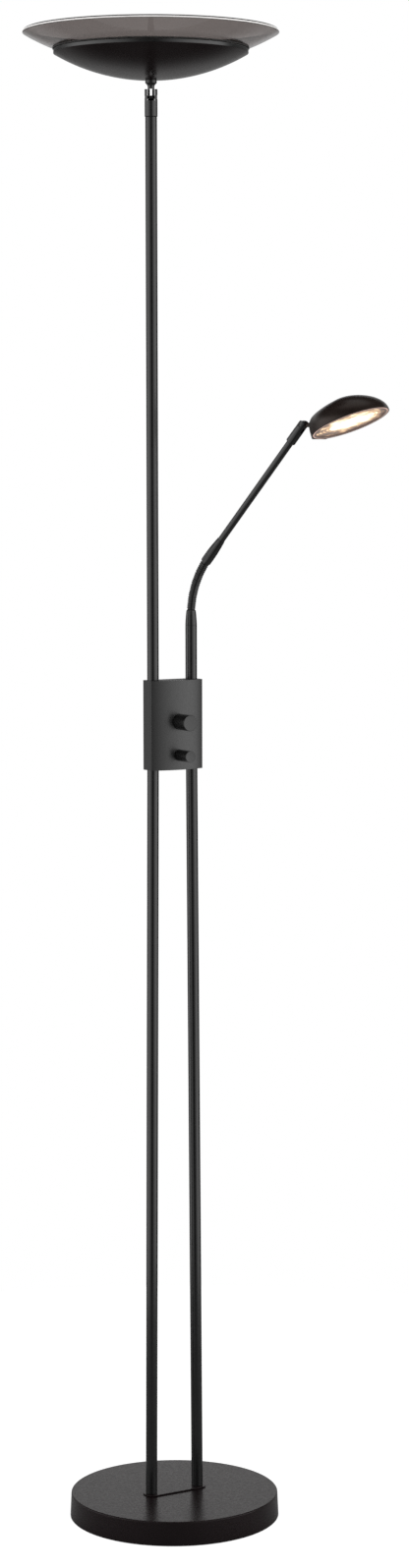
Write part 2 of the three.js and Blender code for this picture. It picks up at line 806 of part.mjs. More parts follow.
// Eye, waist, flange and stud in one turned piece. The waist is slit above the pivot screw for the
// wires, which go on up the bore. The stud goes through the dish and the light source and ends in
// the cap nut.
function uplightNeck() {
  const flangeTop = neckHeight + neckFlangeThickness;
  const waist = forkWidth / 2;
  const boreTop = dishNutTop + 2;
  const turned = revolve(
    [
      [0, -waist],
      [waist, -waist],
      ...[0, 0.35, 0.7, 1].map((share) => [
        waist + (neckFlangeRadius - waist) * share ** 2,
        neckFlare + (neckHeight - neckFlare) * share,
      ]),
      [neckFlangeRadius, flangeTop],
      [stemRadius, flangeTop],
      [stemRadius, boreTop + neckCrown],
      [diffuserStudRadius, boreTop + 2 * neckCrown],
      [diffuserStudRadius, capNutBottom + capNutHeight - capNutRoof],
      [0, capNutBottom + capNutHeight - capNutRoof],
    ],
    smallFacets,
  );
  const reach = 2 * waist;
  const below = block(-reach, reach, -reach, reach, -reach, 0);
  const roundEnd = bar(waist, -reach, reach, mediumFacets).rotateY(Math.PI / 2);
  const wireGap = block(-forkGap / 2, forkGap / 2, -reach, reach, 0, neckRoot);
  const pinHole = bar(pivotRadius + gap, -reach, reach, screwFacets).rotateY(Math.PI / 2);
  const bore = bar(neckBore, 0, boreTop, screwFacets);
  const exit = alongY(bar(neckExit, 0, reach, screwFacets), 0, boreTop - neckExit);
  const rounded = cut(turned, cut(below, roundEnd));
  return cut(rounded, wireGap, pinHole, bore, exit);
}

function dishShell() {
  const centre = dishBottom + dishCurve;
  const inner = dishCurve - dishWall;
  const hole = stemRadius + gap;
  const start = (radius, r) => -Math.acos(r / radius);
  const lip = dishRadius - dishWall;
  return revolve(
    [
      ...arcPoints(0, centre, dishCurve, start(dishCurve, hole), start(dishCurve, dishRadius), dishSteps),
      [dishRadius, lipTop - 0.5],
      [dishRadius - 0.4, lipTop],
      [lip, lipTop],
      ...arcPoints(0, centre, inner, start(inner, lip), start(inner, hole), dishSteps),
    ],
    wideFacets,
  );
}

function ledCarrier() {
  const low = carrierTop - carrierThickness;
  const hubLow = dishInside(carrierHubRadius) + gap;
  const hole = stemRadius + gap;
  return revolve(
    [
      [hole, hubLow],
      [carrierHubRadius, hubLow],
      [carrierHubRadius, low],
      [carrierRadius, low],
      [carrierRadius, carrierTop],
      [hole, carrierTop],
    ],
    mediumFacets,
  );
}

// A ring of circuit board with its LEDs on one side
function ledBoard(innerRadius, outerRadius, low, count, size, side) {
  const high = low + boardThickness;
  const ring = innerRadius > 0 ? pipe(outerRadius, innerRadius, low, high, mediumFacets)
    : bar(outerRadius, low, high, mediumFacets);
  const half = size / 2;
  const level = side > 0 ? high : low;
  const circle = (innerRadius + outerRadius) / 2;
  const leds = Array.from({ length: count }, (_, i) =>
    block(circle - half, circle + half, -half, half, level - ledHeight, level + ledHeight)
      .rotateZ((2 * Math.PI * i) / count));
  return join(ring, ...leds);
}

function dishNut() {
  return cut(
    hexBar(dishNutRadius, dishNutBottom, dishNutTop),
    bar(stemRadius + gap, dishNutBottom - 1, dishNutTop + 1),
  );
}

function uplightDiffuser() {
  return revolve(
    [
      [diffuserStudRadius + gap, diffuserBottom],
      [diffuserRadius, diffuserBottom],
      [diffuserRadius, diffuserTop - 1],
      [diffuserRadius - 1, diffuserTop],
      [diffuserStudRadius + gap, diffuserTop],
    ],
    mediumFacets,
  );
}

function capNut() {
  const low = capNutBottom;
  const nut = revolve(
    [
      [0, low],
      [capNutRadius, low],
      [capNutRadius, low + capNutHeight * 0.55],
      [capNutRadius * 0.75, low + capNutHeight * 0.9],
      [0, low + capNutHeight],
    ],
    smallFacets,
  );
  return cut(nut, bar(diffuserStudRadius + gap, low - 1, low + capNutHeight - capNutRoof + gap));
}

// Lies on the lip of the dish, with its top sloped to fit the underside of the glass
function glassGasket() {
  const inner = glassSeatRadius - gasketWidth / 2;
  const outer = glassSeatRadius + gasketWidth / 2;
  const low = lipTop + gap;
  return revolve(
    [
      [inner, low],
      [outer, low],
      [outer, glassLevel(outer, glassCurve) - gap],
      [inner, glassLevel(inner, glassCurve) - gap],
    ],
    wideFacets,
  );
}

function smokedRing() {
  const upper = glassCurve - glassThickness;
  const angle = (r, curve) => -Math.acos((r - glassCentreR) / curve);
  const rimAngle = angle(glassRadius, glassCurve);
  const innerAngle = angle(glassInnerRadius, glassCurve);
  return revolve(
    [
      ...arcPoints(glassCentreR, glassCentreZ, glassCurve, innerAngle, rimAngle, glassSteps),
      ...arcPoints(glassCentreR, glassCentreZ, upper, rimAngle, innerAngle, glassSteps),
    ],
    wideFacets,
  );
}

// ---------------------------------------------------------------------------------------------
// Gooseneck and arm
// ---------------------------------------------------------------------------------------------

// One ribbed link about Z, from 0 to linkLength. Its ends fall away from a small flat in the middle,
// which leaves each joint room to bend.
function neckLink() {
  const pitch = linkLength / ribsPerLink;
  const profile = [[0, linkGap / 2], [linkCore, linkGap / 2], [linkGroove, linkEnd]];
  for (let i = 0; i < ribsPerLink; i += 1) {
    const middle = pitch * (i + 0.5);
    if (i > 0) profile.push([linkGroove, pitch * i]);
    profile.push([linkRadius, middle - ribCrest / 2], [linkRadius, middle + ribCrest / 2]);
  }
  const top = linkLength - linkGap / 2;
  profile.push([linkGroove, linkLength - linkEnd], [linkCore, top], [0, top]);
  return revolve(profile, linkFacets);
}

// An ogive that takes the gooseneck's end below and grips the rod above
function armSleeve() {
  const tip = sleeveLength;
  const taper = (share) => [
    sleeveTipRadius + (sleeveRadius - sleeveTipRadius) * Math.cos((share * Math.PI) / 2),
    sleeveStraight + (tip - sleeveStraight) * share,
  ];
  return revolve(
    [
      [0, linkGap / 2],
      [linkCore, linkGap / 2],
      [linkGroove, linkEnd],
      [sleeveRadius - sleeveBevel / 2, linkEnd + sleeveBevel / 2],
      [sleeveRadius, linkEnd + 1.5 * sleeveBevel],
      ...[0, 0.35, 0.65, 0.85, 1].map(taper),
      [rodBore, tip],
      [rodBore, tip - rodGrip - gap],
      [0, tip - rodGrip - gap],
    ],
    smallFacets,
  );
}

function armRod() {
  return pipe(rodRadius, rodRadius - rodWall, sleeveLength - rodGrip, rodReach + rodSeat - gap);
}

// ---------------------------------------------------------------------------------------------
// Reading head, measured from its tilt axis: +X points away from the joint, along the lit face
// ---------------------------------------------------------------------------------------------

// Skins a row of outlines with as many points each, all counter-clockwise as seen from the row's
// end. The first outline is closed flat, and the last one runs out in the tip.
function loft(outlines, tip) {
  const count = outlines[0].length;
  const points = [...outlines.flat(), tip];
  const index = [];
  for (let j = 0; j < count; j += 1) {
    const next = (j + 1) % count;
    if (j > 0 && next > 0) index.push(0, next, j);
    for (let i = 0; i < outlines.length - 1; i += 1) {
      const [a, b] = [i * count + j, i * count + next];
      index.push(a, b, b + count, a, b + count, a + count);
    }
    const last = (outlines.length - 1) * count;
    index.push(last + j, last + next, points.length - 1);
  }
  const geometry = new THREE.BufferGeometry();
  geometry.setAttribute('position', new THREE.Float32BufferAttribute(points.flat(), 3));
  geometry.setIndex(index);
  return geometry;
}

// Height of the housing over the face at a distance from the face's middle, away from the joint
function headHeight(x) {
  if (x < headPeak) {
    const share = (headPeak - x) / (headPeak + headRadius - headEndSetback);
    return headRise - (headRise - headEndHeight) * share ** headBackCurve;
  }
  const share = (x - headPeak) / (headRadius - headPeak);
  return headRise * (1 - share ** headFrontCurve) ** (1 / headFrontCurve);
}

// A cross-section of the housing: an arch over the face's plane, half a superellipse
function headArch(x, halfWidth, height) {
  return Array.from({ length: archSteps + 1 }, (_, i) => {
    const angle = (Math.PI * i) / archSteps;
    const across = Math.abs(Math.cos(angle)) ** (2 / headFullness);
    const up = Math.abs(Math.sin(angle)) ** (2 / headFullness);
    return [x, Math.sign(Math.cos(angle)) * halfWidth * across, height * up];
  });
}

// The housing's form: round on the face's side, with a thick flat end at the joint, from which one
// swelling back runs out in the nose. With an inset it is the form of the inside.
function headForm(inset, endWidth) {
  const radius = headRadius - inset;
  const end = -headRadius + headEndSetback + inset;
  const section = (x, shrink) => {
    const round = Math.sqrt(radius ** 2 - x ** 2);
    const halfWidth = x < 0 ? Math.max(round, endWidth / 2) : round;
    return headArch(x, halfWidth - shrink, headHeight(x) - inset - shrink);
  };
  const quarter = [0, 0.3, 1]; // steps of the rounding at the flat end
  const outlines = quarter.map((share) =>
    section(end + share * headEndRounding, headEndRounding * (1 - Math.sqrt(1 - (1 - share) ** 2))));
  const first = Math.acos(end / radius);
  for (let i = 1; i < headSections; i += 1) {
    outlines.push(section(radius * Math.cos(first * (1 - i / headSections)), 0));
  }
  outlines.push(section(radius * Math.cos(first / headSections / 2), 0));
  return loft(outlines, [radius, 0, 0]);
}

// The round neck from the housing to the tilt axis, with an eye that fits between the ears
function lug() {
  const wall = headReach - headRadius + headEndSetback;
  const reach = wall + headWall + lugBury;
  const flare = (share) => [
    lugWidth / 2 + (lugRootRadius - lugWidth / 2) * share ** 2,
    headEarRadius + 2 + (wall - headEarRadius - 2) * share,
  ];
  const neck = revolve(
    [[0, 0], [lugWidth / 2, 0], ...[0, 0.5, 0.8, 1].map(flare), [lugRootRadius, reach], [0, reach]],
    smallFacets,
  ).rotateY(Math.PI / 2 + radians(lugSlope));
  const eye = bar(lugRadius, -lugWidth / 2, lugWidth / 2).rotateX(Math.PI / 2);
  return join(neck, eye);
}

// The shell, with a step in its mouth for the diffuser and three posts for the LED board
function headHousing() {
  const boardTop = headBoardLevel + boardThickness;
  const mouthDepth = bezelThickness + gap + headDiffuserThickness + gap;
  const mouth = bar(mouthRadius, -1, mouthDepth, mediumFacets);
  const posts = [1, 3, 5].map((i) =>
    bar(headPostRadius, boardTop + gap, headRise, screwFacets)
      .translate(headPostCircle, 0, 0).rotateZ((i * Math.PI) / 3));
  const hollow = cut(headForm(headWall, 0), ...posts);
  const shell = cut(headForm(0, headEndWidth), hollow, mouth).translate(headReach, 0, -headDrop);
  const pinHole = bar(headPivotRadius + gap, -lugWidth, lugWidth, screwFacets).rotateX(Math.PI / 2);
  return cut(join(shell, lug()), pinHole);
}

function headBezel() {
  const outer = mouthRadius - gap;
  return pipe(outer, outer - bezelWidth, 0, bezelThickness, mediumFacets).translate(headReach, 0, -headDrop);
}

function headDiffuser() {
  const low = bezelThickness + gap;
  const disc = bar(mouthRadius - gap, low, low + headDiffuserThickness, mediumFacets);
  return disc.translate(headReach, 0, -headDrop);
}

// As wide as the nose has room for at the board's level
function headLedBoard() {
  const height = headBoardLevel + boardThickness + headWall;
  const share = (1 - (height / headRise) ** headFrontCurve) ** (1 / headFrontCurve);
  const radius = headPeak + (headRadius - headPeak) * share - headBoardMargin;
  const board = ledBoard(0, radius, headBoardLevel, headLedCount, headLedSize, -1);
  return board.translate(headReach, 0, -headDrop);
}

// ---------------------------------------------------------------------------------------------
// Assembly
// ---------------------------------------------------------------------------------------------

const lamp = new THREE.Group();

function add(parent, name, geometry, look, x = 0, y = 0, z = 0) {
  const mesh = new THREE.Mesh(geometryOf(solid(geometry)), look);
  mesh.name = name;
  mesh.position.set(x, y, z);
  parent.add(mesh);
  return mesh;
}

function group(parent, x, y, z) {
  const child = new THREE.Group();
  child.position.set(x, y, z);
  parent.add(child);
  return child;
}

function addBase() {
  add(lamp, 'base_pad', basePad(), rubber());
  add(lamp, 'base_weight', baseWeight(), castIron());
  add(lamp, 'base_cover', baseCover(), satinBlack());
  add(lamp, 'cord_grommet', cordGrommet(), rubber());
  add(lamp, 'foot_plate', footPlate(), satinBlack());
}

// The two lower tubes lean towards each other: they stand wider apart at the base than at the box
function addPoles() {
  for (const [name, side] of [['main', -1], ['reading', 1]]) {
    const leaning = group(lamp, side * footX, 0, tubeFoot);
    leaning.rotation.y = -side * lean;
    add(leaning, `${name}_lower_tube`, tube(lowerTubeLength), satinBlack());
    add(leaning, `${name}_foot_stud`, footStud(), steel());
    add(lamp, `${name}_foot_nut`, footNut(), steel(), side * footX);
    add(lamp, `${name}_coupler`, coupler(), steel(), side * poleX, 0, couplerLevel);
  }
  add(lamp, 'main_upper_tube', tube(mainTubeLength), satinBlack(), -poleX, 0, upperTubeBottom);
  add(lamp, 'reading_upper_tube', tube(readingTubeLength), satinBlack(), poleX, 0, upperTubeBottom);
  add(lamp, 'reading_ferrule', ferrule(), satinBlack(), poleX, 0, readingTubeTop + gap);
}

function addControlBox() {
  add(lamp, 'box_back_channel', backChannel(), satinBlack());
  add(lamp, 'box_front_cover', frontCover(), satinBlack());
  add(lamp, 'box_bottom_cap', endCap(boxBottom, leaningX(boxBottom + capThickness / 2)), blackPlastic());
  add(lamp, 'box_top_cap', endCap(boxTop - capThickness, poleX), blackPlastic());
  add(lamp, 'lower_clamp_bar', clampBar(lowerClampZ, leaningX(lowerClampZ)), steel());
  add(lamp, 'upper_clamp_bar', clampBar(upperClampZ, poleX), steel());
  const clampTip = -tubeRadius + 1;
  const coverTip = boxBackY - boxWall - gap - 8;
  add(lamp, 'lower_clamp_screw', backScrew(clampTip), steel(), 0, 0, lowerClampZ);
  add(lamp, 'upper_clamp_screw', backScrew(clampTip), steel(), 0, 0, upperClampZ);
  add(lamp, 'lower_cover_screw', backScrew(coverTip), steel(), 0, 0, lowerPostZ);
  add(lamp, 'upper_cover_screw', backScrew(coverTip), steel(), 0, 0, upperPostZ);
  add(lamp, 'dimmer_board', dimmerBoard(), circuitBoard());
  add(lamp, 'uplight_dimmer', dimmer(uplightKnobZ, uplightDimmerSize), blackPlastic());
  add(lamp, 'reading_dimmer', dimmer(readingKnobZ, readingDimmerSize), blackPlastic());
  add(lamp, 'uplight_dimmer_shaft', dimmerShaft(), steel(), 0, 0, uplightKnobZ);
  add(lamp, 'reading_dimmer_shaft', dimmerShaft(), steel(), 0, 0, readingKnobZ);
  add(lamp, 'uplight_knob', knob(uplightKnobRadius), satinBlack(), 0, 0, uplightKnobZ);
  add(lamp, 'reading_knob', knob(readingKnobRadius), satinBlack(), 0, 0, readingKnobZ);
}

function addUplight() {
  const head = group(lamp, ...uplightPivot.toArray());
  head.rotation.z = radians(uplightHeading);
  add(head, 'uplight_collar', clevis(uplightClevis), satinBlack());
  add(head, 'uplight_pivot_screw', pivotScrew(uplightClevis), satinBlack());
  add(head, 'uplight_neck', uplightNeck(), satinBlack());
  const bowl = group(head, 0, 0, 0);
  bowl.rotation.z = -head.rotation.z;
  add(bowl, 'dish_shell', dishShell(), satinBlack());
  add(bowl, 'led_carrier', ledCarrier(), aluminium());
  const boardRadius = carrierRadius - uplightBoardMargin;
  const board = ledBoard(uplightBoardInner, boardRadius, carrierTop + gap, ledCount, ledSize, 1);
  add(bowl, 'uplight_led_board', board, circuitBoard());
  add(head, 'dish_nut', dishNut(), steel());
  add(bowl, 'glass_gasket', glassGasket(), rubber());
  add(bowl, 'smoked_glass', smokedRing(), smokedGlass());
  add(bowl, 'uplight_diffuser', uplightDiffuser(), opal());
  add(head, 'diffuser_cap_nut', capNut(), steel());
}

// The links stand on each other. Every other joint bends in the arm's own plane, from the first on,
// and is the one that holds a share of the bend; the joints between them bend sideways.
function addArm() {
  let parent = group(lamp, ...neckStart.toArray());
  parent.rotation.z = radians(armHeading);
  for (let i = 0; i < linkCount; i += 1) {
    const link = group(parent, 0, 0, i === 0 ? 0 : linkLength);
    link.rotation.y = i % 2 === 0 ? bendStep : 0;
    add(link, `gooseneck_link_${i + 1}`, neckLink(), satinBlack());
    parent = link;
  }
  const arm = group(parent, 0, 0, linkLength);
  arm.rotation.y = bendStep;
  add(arm, 'arm_sleeve', armSleeve(), satinBlack());
  add(arm, 'arm_rod', armRod(), satinBlack());

  const joint = group(arm, 0, 0, rodReach + headCollarLength);
  const ears = group(joint, 0, 0, 0);
  ears.rotation.z = Math.PI / 2;
  add(ears, 'head_collar', clevis(headClevis), satinBlack());
  add(ears, 'head_pivot_screw', pivotScrew(headClevis), satinBlack());

  const head = group(joint, 0, 0, 0);
  head.rotation.y = -radians(headTilt) - radians(neckTurn);
  add(head, 'head_housing', headHousing(), satinBlack());
  add(head, 'head_led_board', headLedBoard(), circuitBoard());
  add(head, 'head_diffuser', headDiffuser(), litOpal());
  add(head, 'head_bezel', headBezel(), satinBlack());
}

addBase();
addPoles();
addControlBox();
addUplight();
addArm();

export default lamp;
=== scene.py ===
"""Looks of the torchiere floor lamp with its reading arm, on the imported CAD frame."""
import json
import math

import bmesh
import bpy
from mathutils import Matrix, Vector


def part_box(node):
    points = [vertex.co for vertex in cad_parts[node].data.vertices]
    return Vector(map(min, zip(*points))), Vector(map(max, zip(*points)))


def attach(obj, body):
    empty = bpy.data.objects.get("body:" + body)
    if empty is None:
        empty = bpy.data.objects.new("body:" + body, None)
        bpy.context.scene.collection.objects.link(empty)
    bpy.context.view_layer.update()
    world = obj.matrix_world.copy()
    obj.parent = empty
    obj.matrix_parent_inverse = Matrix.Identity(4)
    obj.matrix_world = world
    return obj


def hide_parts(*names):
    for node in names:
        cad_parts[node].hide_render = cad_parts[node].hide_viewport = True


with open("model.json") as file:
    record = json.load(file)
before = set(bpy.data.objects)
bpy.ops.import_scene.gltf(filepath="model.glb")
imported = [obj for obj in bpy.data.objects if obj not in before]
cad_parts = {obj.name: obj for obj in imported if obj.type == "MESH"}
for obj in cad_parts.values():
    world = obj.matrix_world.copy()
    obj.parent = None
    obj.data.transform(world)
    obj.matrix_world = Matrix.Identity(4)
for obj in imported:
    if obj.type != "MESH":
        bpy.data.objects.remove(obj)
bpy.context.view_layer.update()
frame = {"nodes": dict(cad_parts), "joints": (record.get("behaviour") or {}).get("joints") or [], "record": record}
nodes = frame["nodes"]
joints = {joint["name"]: joint for joint in frame["joints"]}
MM = 0.001
GAP = 0.3 * MM  # air between two pieces that touch
SEAM = 0.03 * MM  # and between two that close a view

HEADING = math.radians(31.0)  # the camera looks this far from +Y towards +X
CAMERA_RIGHT = Vector((math.cos(HEADING), -math.sin(HEADING), 0.0))
CAMERA_AWAY = Vector((math.sin(HEADING), math.cos(HEADING), 0.0))


# --------------------------------------------------------------------------------------------
# Materials
# --------------------------------------------------------------------------------------------


def new_material(name):
    material = bpy.data.materials.new(f"look_{name}")
    material.use_nodes = True
    tree = material.node_tree
    return material, tree, tree.nodes["Principled BSDF"]


def noise(tree, scale, detail=4.0, stretch=None):
    """A noise texture in object space; scale counts features per metre."""
    coordinates = tree.nodes.new("ShaderNodeTexCoord")
    source = coordinates.outputs["Object"]
    if stretch:
        mapping = tree.nodes.new("ShaderNodeMapping")
        mapping.inputs["Scale"].default_value = stretch
        tree.links.new(source, mapping.inputs["Vector"])
        source = mapping.outputs["Vector"]
    texture = tree.nodes.new("ShaderNodeTexNoise")
    texture.inputs["Scale"].default_value = scale
    texture.inputs["Detail"].default_value = detail
    tree.links.new(source, texture.inputs["Vector"])
    return texture.outputs["Fac"]


def ramp(tree, value, stops):
    """A colour ramp; stops are (position, colour)."""
    node = tree.nodes.new("ShaderNodeValToRGB")
    elements = node.color_ramp.elements
    while len(elements) < len(stops):
        elements.new(0.5)
    for element, (position, colour) in zip(elements, stops):
        element.position = position
        element.color = (*colour, 1.0)
    tree.links.new(value, node.inputs["Fac"])
    return node.outputs["Color"]


def spread(tree, value, low, high, start=0.3, end=0.7):
    """Goes from low to high as the value goes from start to end."""
    node = tree.nodes.new("ShaderNodeMapRange")
    node.inputs["From Min"].default_value = start
    node.inputs["From Max"].default_value = end
    node.inputs["To Min"].default_value = low
    node.inputs["To Max"].default_value = high
    tree.links.new(value, node.inputs["Value"])
    return node.outputs["Result"]


def math_node(tree, operation, first, second):
    """A math node on two values, each a socket or a number."""
    node = tree.nodes.new("ShaderNodeMath")
    node.operation = operation
    for socket, value in zip(node.inputs, (first, second)):
        if isinstance(value, (int, float)):
            socket.default_value = value
        else:
            tree.links.new(value, socket)
    return node.outputs["Value"]


def mix(tree, factor, first, second):
    """Goes from the first value to the second as the factor goes from 0 to 1."""
    difference = math_node(tree, "SUBTRACT", second, first)
    return math_node(tree, "ADD", math_node(tree, "MULTIPLY", factor, difference), first)


def along(tree, vector, axis):
    """How far a vector reaches along an axis."""
    node = tree.nodes.new("ShaderNodeVectorMath")
    node.operation = "DOT_PRODUCT"
    tree.links.new(vector, node.inputs[0])
    node.inputs[1].default_value = axis
    return node.outputs["Value"]


def bump(tree, shader, layers):
    """Stacks bump layers of (height, distance in metres, strength) under the shader."""
    normal = None
    for height, distance, strength in layers:
        node = tree.nodes.new("ShaderNodeBump")
        node.inputs["Distance"].default_value = distance
        node.inputs["Strength"].default_value = strength
        tree.links.new(height, node.inputs["Height"])
        if normal:
            tree.links.new(normal, node.inputs["Normal"])
        normal = node.outputs["Normal"]
    tree.links.new(normal, shader.inputs["Normal"])


def mottle(tree, shader, scale, detail, dark, light, start=0.3, end=0.7):
    """Lets the base colour drift between two colours, over the noise's levels from start to end."""
    colour = ramp(tree, noise(tree, scale, detail), [(start, dark), (end, light)])
    tree.links.new(colour, shader.inputs["Base Color"])


def roughen(tree, shader, low, high, scale, detail=4.0):
    """Lets the roughness drift between two values."""
    tree.links.new(spread(tree, noise(tree, scale, detail), low, high), shader.inputs["Roughness"])


def glow(tree, shader, colour, strength):
    tree.links.new(colour, shader.inputs["Emission Color"])
    shader.inputs["Emission Strength"].default_value = strength


def painted(name, dark, light, roughness, specular=0.5, grain=1400.0, tint=(1.0, 1.0, 1.0)):
    """Sprayed paint: slow changes of tone, a fine orange peel, and a finer dust in the gloss."""
    material, tree, shader = new_material(name)
    shader.inputs["Specular IOR Level"].default_value = specular
    shader.inputs["Specular Tint"].default_value = (*tint, 1.0)
    mottle(tree, shader, 22.0, 6.0, dark, light)
    roughen(tree, shader, roughness - 0.05, roughness + 0.06, 420.0, 8.0)
    peel = (noise(tree, grain, 3.0), 0.03 * MM, 0.2)
    waves = (noise(tree, 90.0, 2.0), 0.2 * MM, 0.05)
    bump(tree, shader, [peel, waves])
    return material


def satin_black():
    return painted("satin_black", (0.004, 0.004, 0.004), (0.007, 0.007, 0.007), 0.2)


def base_black():
    """The paint of the base, duller than that of the tubes and a little brown."""
    dark, light = (0.0048, 0.0026, 0.003), (0.007, 0.0042, 0.0047)
    return painted("base_black", dark, light, 0.28, 0.25, 1100.0, (1.0, 0.9, 0.92))


def dish_black():
    """The paint of the dish, which hardly shines."""
    dark, light = (0.0045, 0.0026, 0.0028), (0.0065, 0.004, 0.0043)
    return painted("dish_black", dark, light, 0.25, 0.11, tint=(1.0, 0.85, 0.82))


def head_black():
    """The paint of the reading head, with a hint of brown in its colour and gloss: painted warm light from the
    lamp.
    """
    # the brown colour and the brown gloss tint are painted warm light from the lamp
    dark, light = (0.0115, 0.0078, 0.0066), (0.0155, 0.0105, 0.009)
    return painted("head_black", dark, light, 0.3, 0.25, tint=(1.0, 0.86, 0.79))


def box_black():
    return painted("box_black", (0.004, 0.004, 0.004), (0.007, 0.007, 0.007), 0.28, specular=0.55)


def knob_black():
    return painted("knob_black", (0.004, 0.004, 0.004), (0.007, 0.007, 0.007), 0.26, grain=2400.0)


def black_plastic():
    return painted("black_plastic", (0.01, 0.01, 0.0105), (0.014, 0.014, 0.0145), 0.46, grain=2200.0)


def metal(name, dark, light, roughness, stretch):
    """Bare metal with a drawn or turned grain along the stretched direction."""
    material, tree, shader = new_material(name)
    shader.inputs["Metallic"].default_value = 1.0
    grain = noise(tree, 700.0, 6.0, stretch)
    tree.links.new(ramp(tree, grain, [(0.35, dark), (0.65, light)]), shader.inputs["Base Color"])
    tree.links.new(spread(tree, grain, roughness - 0.06, roughness + 0.08), shader.inputs["Roughness"])
    bump(tree, shader, [(grain, 0.03 * MM, 0.3)])
    return material


def cast_iron():
    material, tree, shader = new_material("cast_iron")
    shader.inputs["Metallic"].default_value = 0.7
    mottle(tree, shader, 60.0, 8.0, (0.05, 0.048, 0.047), (0.1, 0.095, 0.09))
    roughen(tree, shader, 0.6, 0.85, 300.0)
    bump(tree, shader, [(noise(tree, 500.0, 8.0), 0.3 * MM, 0.7)])
    return material


def rubber():
    material, tree, shader = new_material("rubber")
    mottle(tree, shader, 120.0, 6.0, (0.012, 0.012, 0.012), (0.022, 0.021, 0.021))
    roughen(tree, shader, 0.7, 0.9, 600.0)
    bump(tree, shader, [(noise(tree, 1800.0, 4.0), 0.1 * MM, 0.5)])
    return material


def circuit_board():
    """The pale solder mask of a circuit board."""
    material, tree, shader = new_material("circuit_board")
    mottle(tree, shader, 180.0, 3.0, (0.72, 0.73, 0.7), (0.8, 0.8, 0.78), 0.4, 0.6)
    roughen(tree, shader, 0.4, 0.6, 900.0)
    bump(tree, shader, [(noise(tree, 900.0, 2.0), 0.05 * MM, 0.4)])
    return material


def opal():
    """Unlit opal acrylic: faintly warm, soft gloss, a little light inside."""
    material, tree, shader = new_material("opal")
    mottle(tree, shader, 30.0, 3.0, (0.78, 0.76, 0.71), (0.84, 0.82, 0.77))
    roughen(tree, shader, 0.28, 0.4, 500.0)
    bump(tree, shader, [(noise(tree, 1500.0, 2.0), 0.04 * MM, 0.3)])
    return material


def face_radius(tree, centre, reach):
    """Distance from the middle of the lit face, as a share of the reach."""
    coordinates = tree.nodes.new("ShaderNodeTexCoord")
    offset = tree.nodes.new("ShaderNodeVectorMath")
    offset.operation = "DISTANCE"
    offset.inputs[1].default_value = centre
    tree.links.new(coordinates.outputs["Object"], offset.inputs[0])
    return spread(tree, offset.outputs["Value"], 0.0, 1.0, 0.0, reach)


def lit_opal(centre):
    """The lit diffuser of the reading head: white hot with amber streaks, smoky towards the rim."""
    material, tree, shader = new_material("lit_opal")
    shader.inputs["Base Color"].default_value = (0.14, 0.105, 0.085, 1.0)
    radius = face_radius(tree, centre, MOUTH_RADIUS)
    cloud = noise(tree, 60.0, 7.0, (1.0, 1.0, 2.2))
    streaks = math_node(tree, "MULTIPLY", math_node(tree, "SUBTRACT", cloud, 0.55), 1.3)
    wave = math_node(tree, "SINE", math_node(tree, "MULTIPLY", radius, LENS_RIDGES * 2 * math.pi), 0.0)
    uneven = math_node(tree, "ADD", streaks, math_node(tree, "MULTIPLY", wave, 0.06))
    colour = ramp(
        tree,
        math_node(tree, "ADD", radius, uneven),
        [
            (0.34, (1.0, 0.96, 0.84)),
            (0.5, (1.0, 0.84, 0.56)),
            (0.6, (0.74, 0.48, 0.26)),
            (0.7, (0.34, 0.21, 0.13)),
            (0.84, (0.13, 0.09, 0.07)),
            (1.0, (0.08, 0.058, 0.048)),
        ],
    )
    glow(tree, shader, colour, 1.2)
    roughen(tree, shader, 0.3, 0.45, 400.0)
    bump(tree, shader, [(noise(tree, 700.0, 3.0), 0.1 * MM, 0.4)])
    return material


def lit_bezel(centre):
    """The black ring round the diffuser, with a painted glow for the diffuser's stray light: smoky over the ring,
    and gilded at its outer edge.
    """
    material, tree, shader = new_material("lit_bezel")
    shader.inputs["Base Color"].default_value = (0.05, 0.04, 0.036, 1.0)
    shader.inputs["Specular IOR Level"].default_value = 0.2
    # painted glow for the diffuser's stray light: faint and smoky inward, bright at the outer edge
    colour = ramp(
        tree,
        face_radius(tree, centre, MOUTH_RADIUS),
        [
            (0.9, (0.085, 0.06, 0.052)),
            (0.955, (0.12, 0.08, 0.066)),
            (0.98, (0.62, 0.4, 0.33)),
            (1.0, (0.75, 0.5, 0.42)),
        ],
    )
    glow(tree, shader, colour, 1.0)
    roughen(tree, shader, 0.3, 0.42, 500.0)
    bump(tree, shader, [(noise(tree, 900.0, 2.0), 0.05 * MM, 0.3)])
    return material


def smoked_glass():
    """Brown-grey glass, clear but for a little haze and the slow waves of bent glass."""
    material, tree, shader = new_material("smoked_glass")
    shader.inputs["Transmission Weight"].default_value = 1.0
    shader.inputs["IOR"].default_value = 1.5
    mottle(tree, shader, 9.0, 3.0, (0.151, 0.131, 0.125), (0.166, 0.144, 0.137))
    roughen(tree, shader, 0.0, 0.03, 300.0, 6.0)
    bump(tree, shader, [(noise(tree, 12.0, 2.0), 0.4 * MM, 0.05)])
    return material


def glass_edge():
    """The edge of the glass, painted pale: a painted highlight for the light that the edge catches."""
    material, tree, shader = new_material("glass_edge")
    mottle(tree, shader, 60.0, 3.0, (0.82, 0.8, 0.79), (0.92, 0.9, 0.89))
    roughen(tree, shader, 0.4, 0.5, 900.0)
    bump(tree, shader, [(noise(tree, 2500.0, 2.0), 0.03 * MM, 0.3)])
    return material


def dark_edge():
    """The inner half of the glass's edge, painted dark: painted shade for the tint seen through the glass's whole
    depth.
    """
    return painted("dark_edge", (0.012, 0.01, 0.01), (0.018, 0.015, 0.014), 0.2)


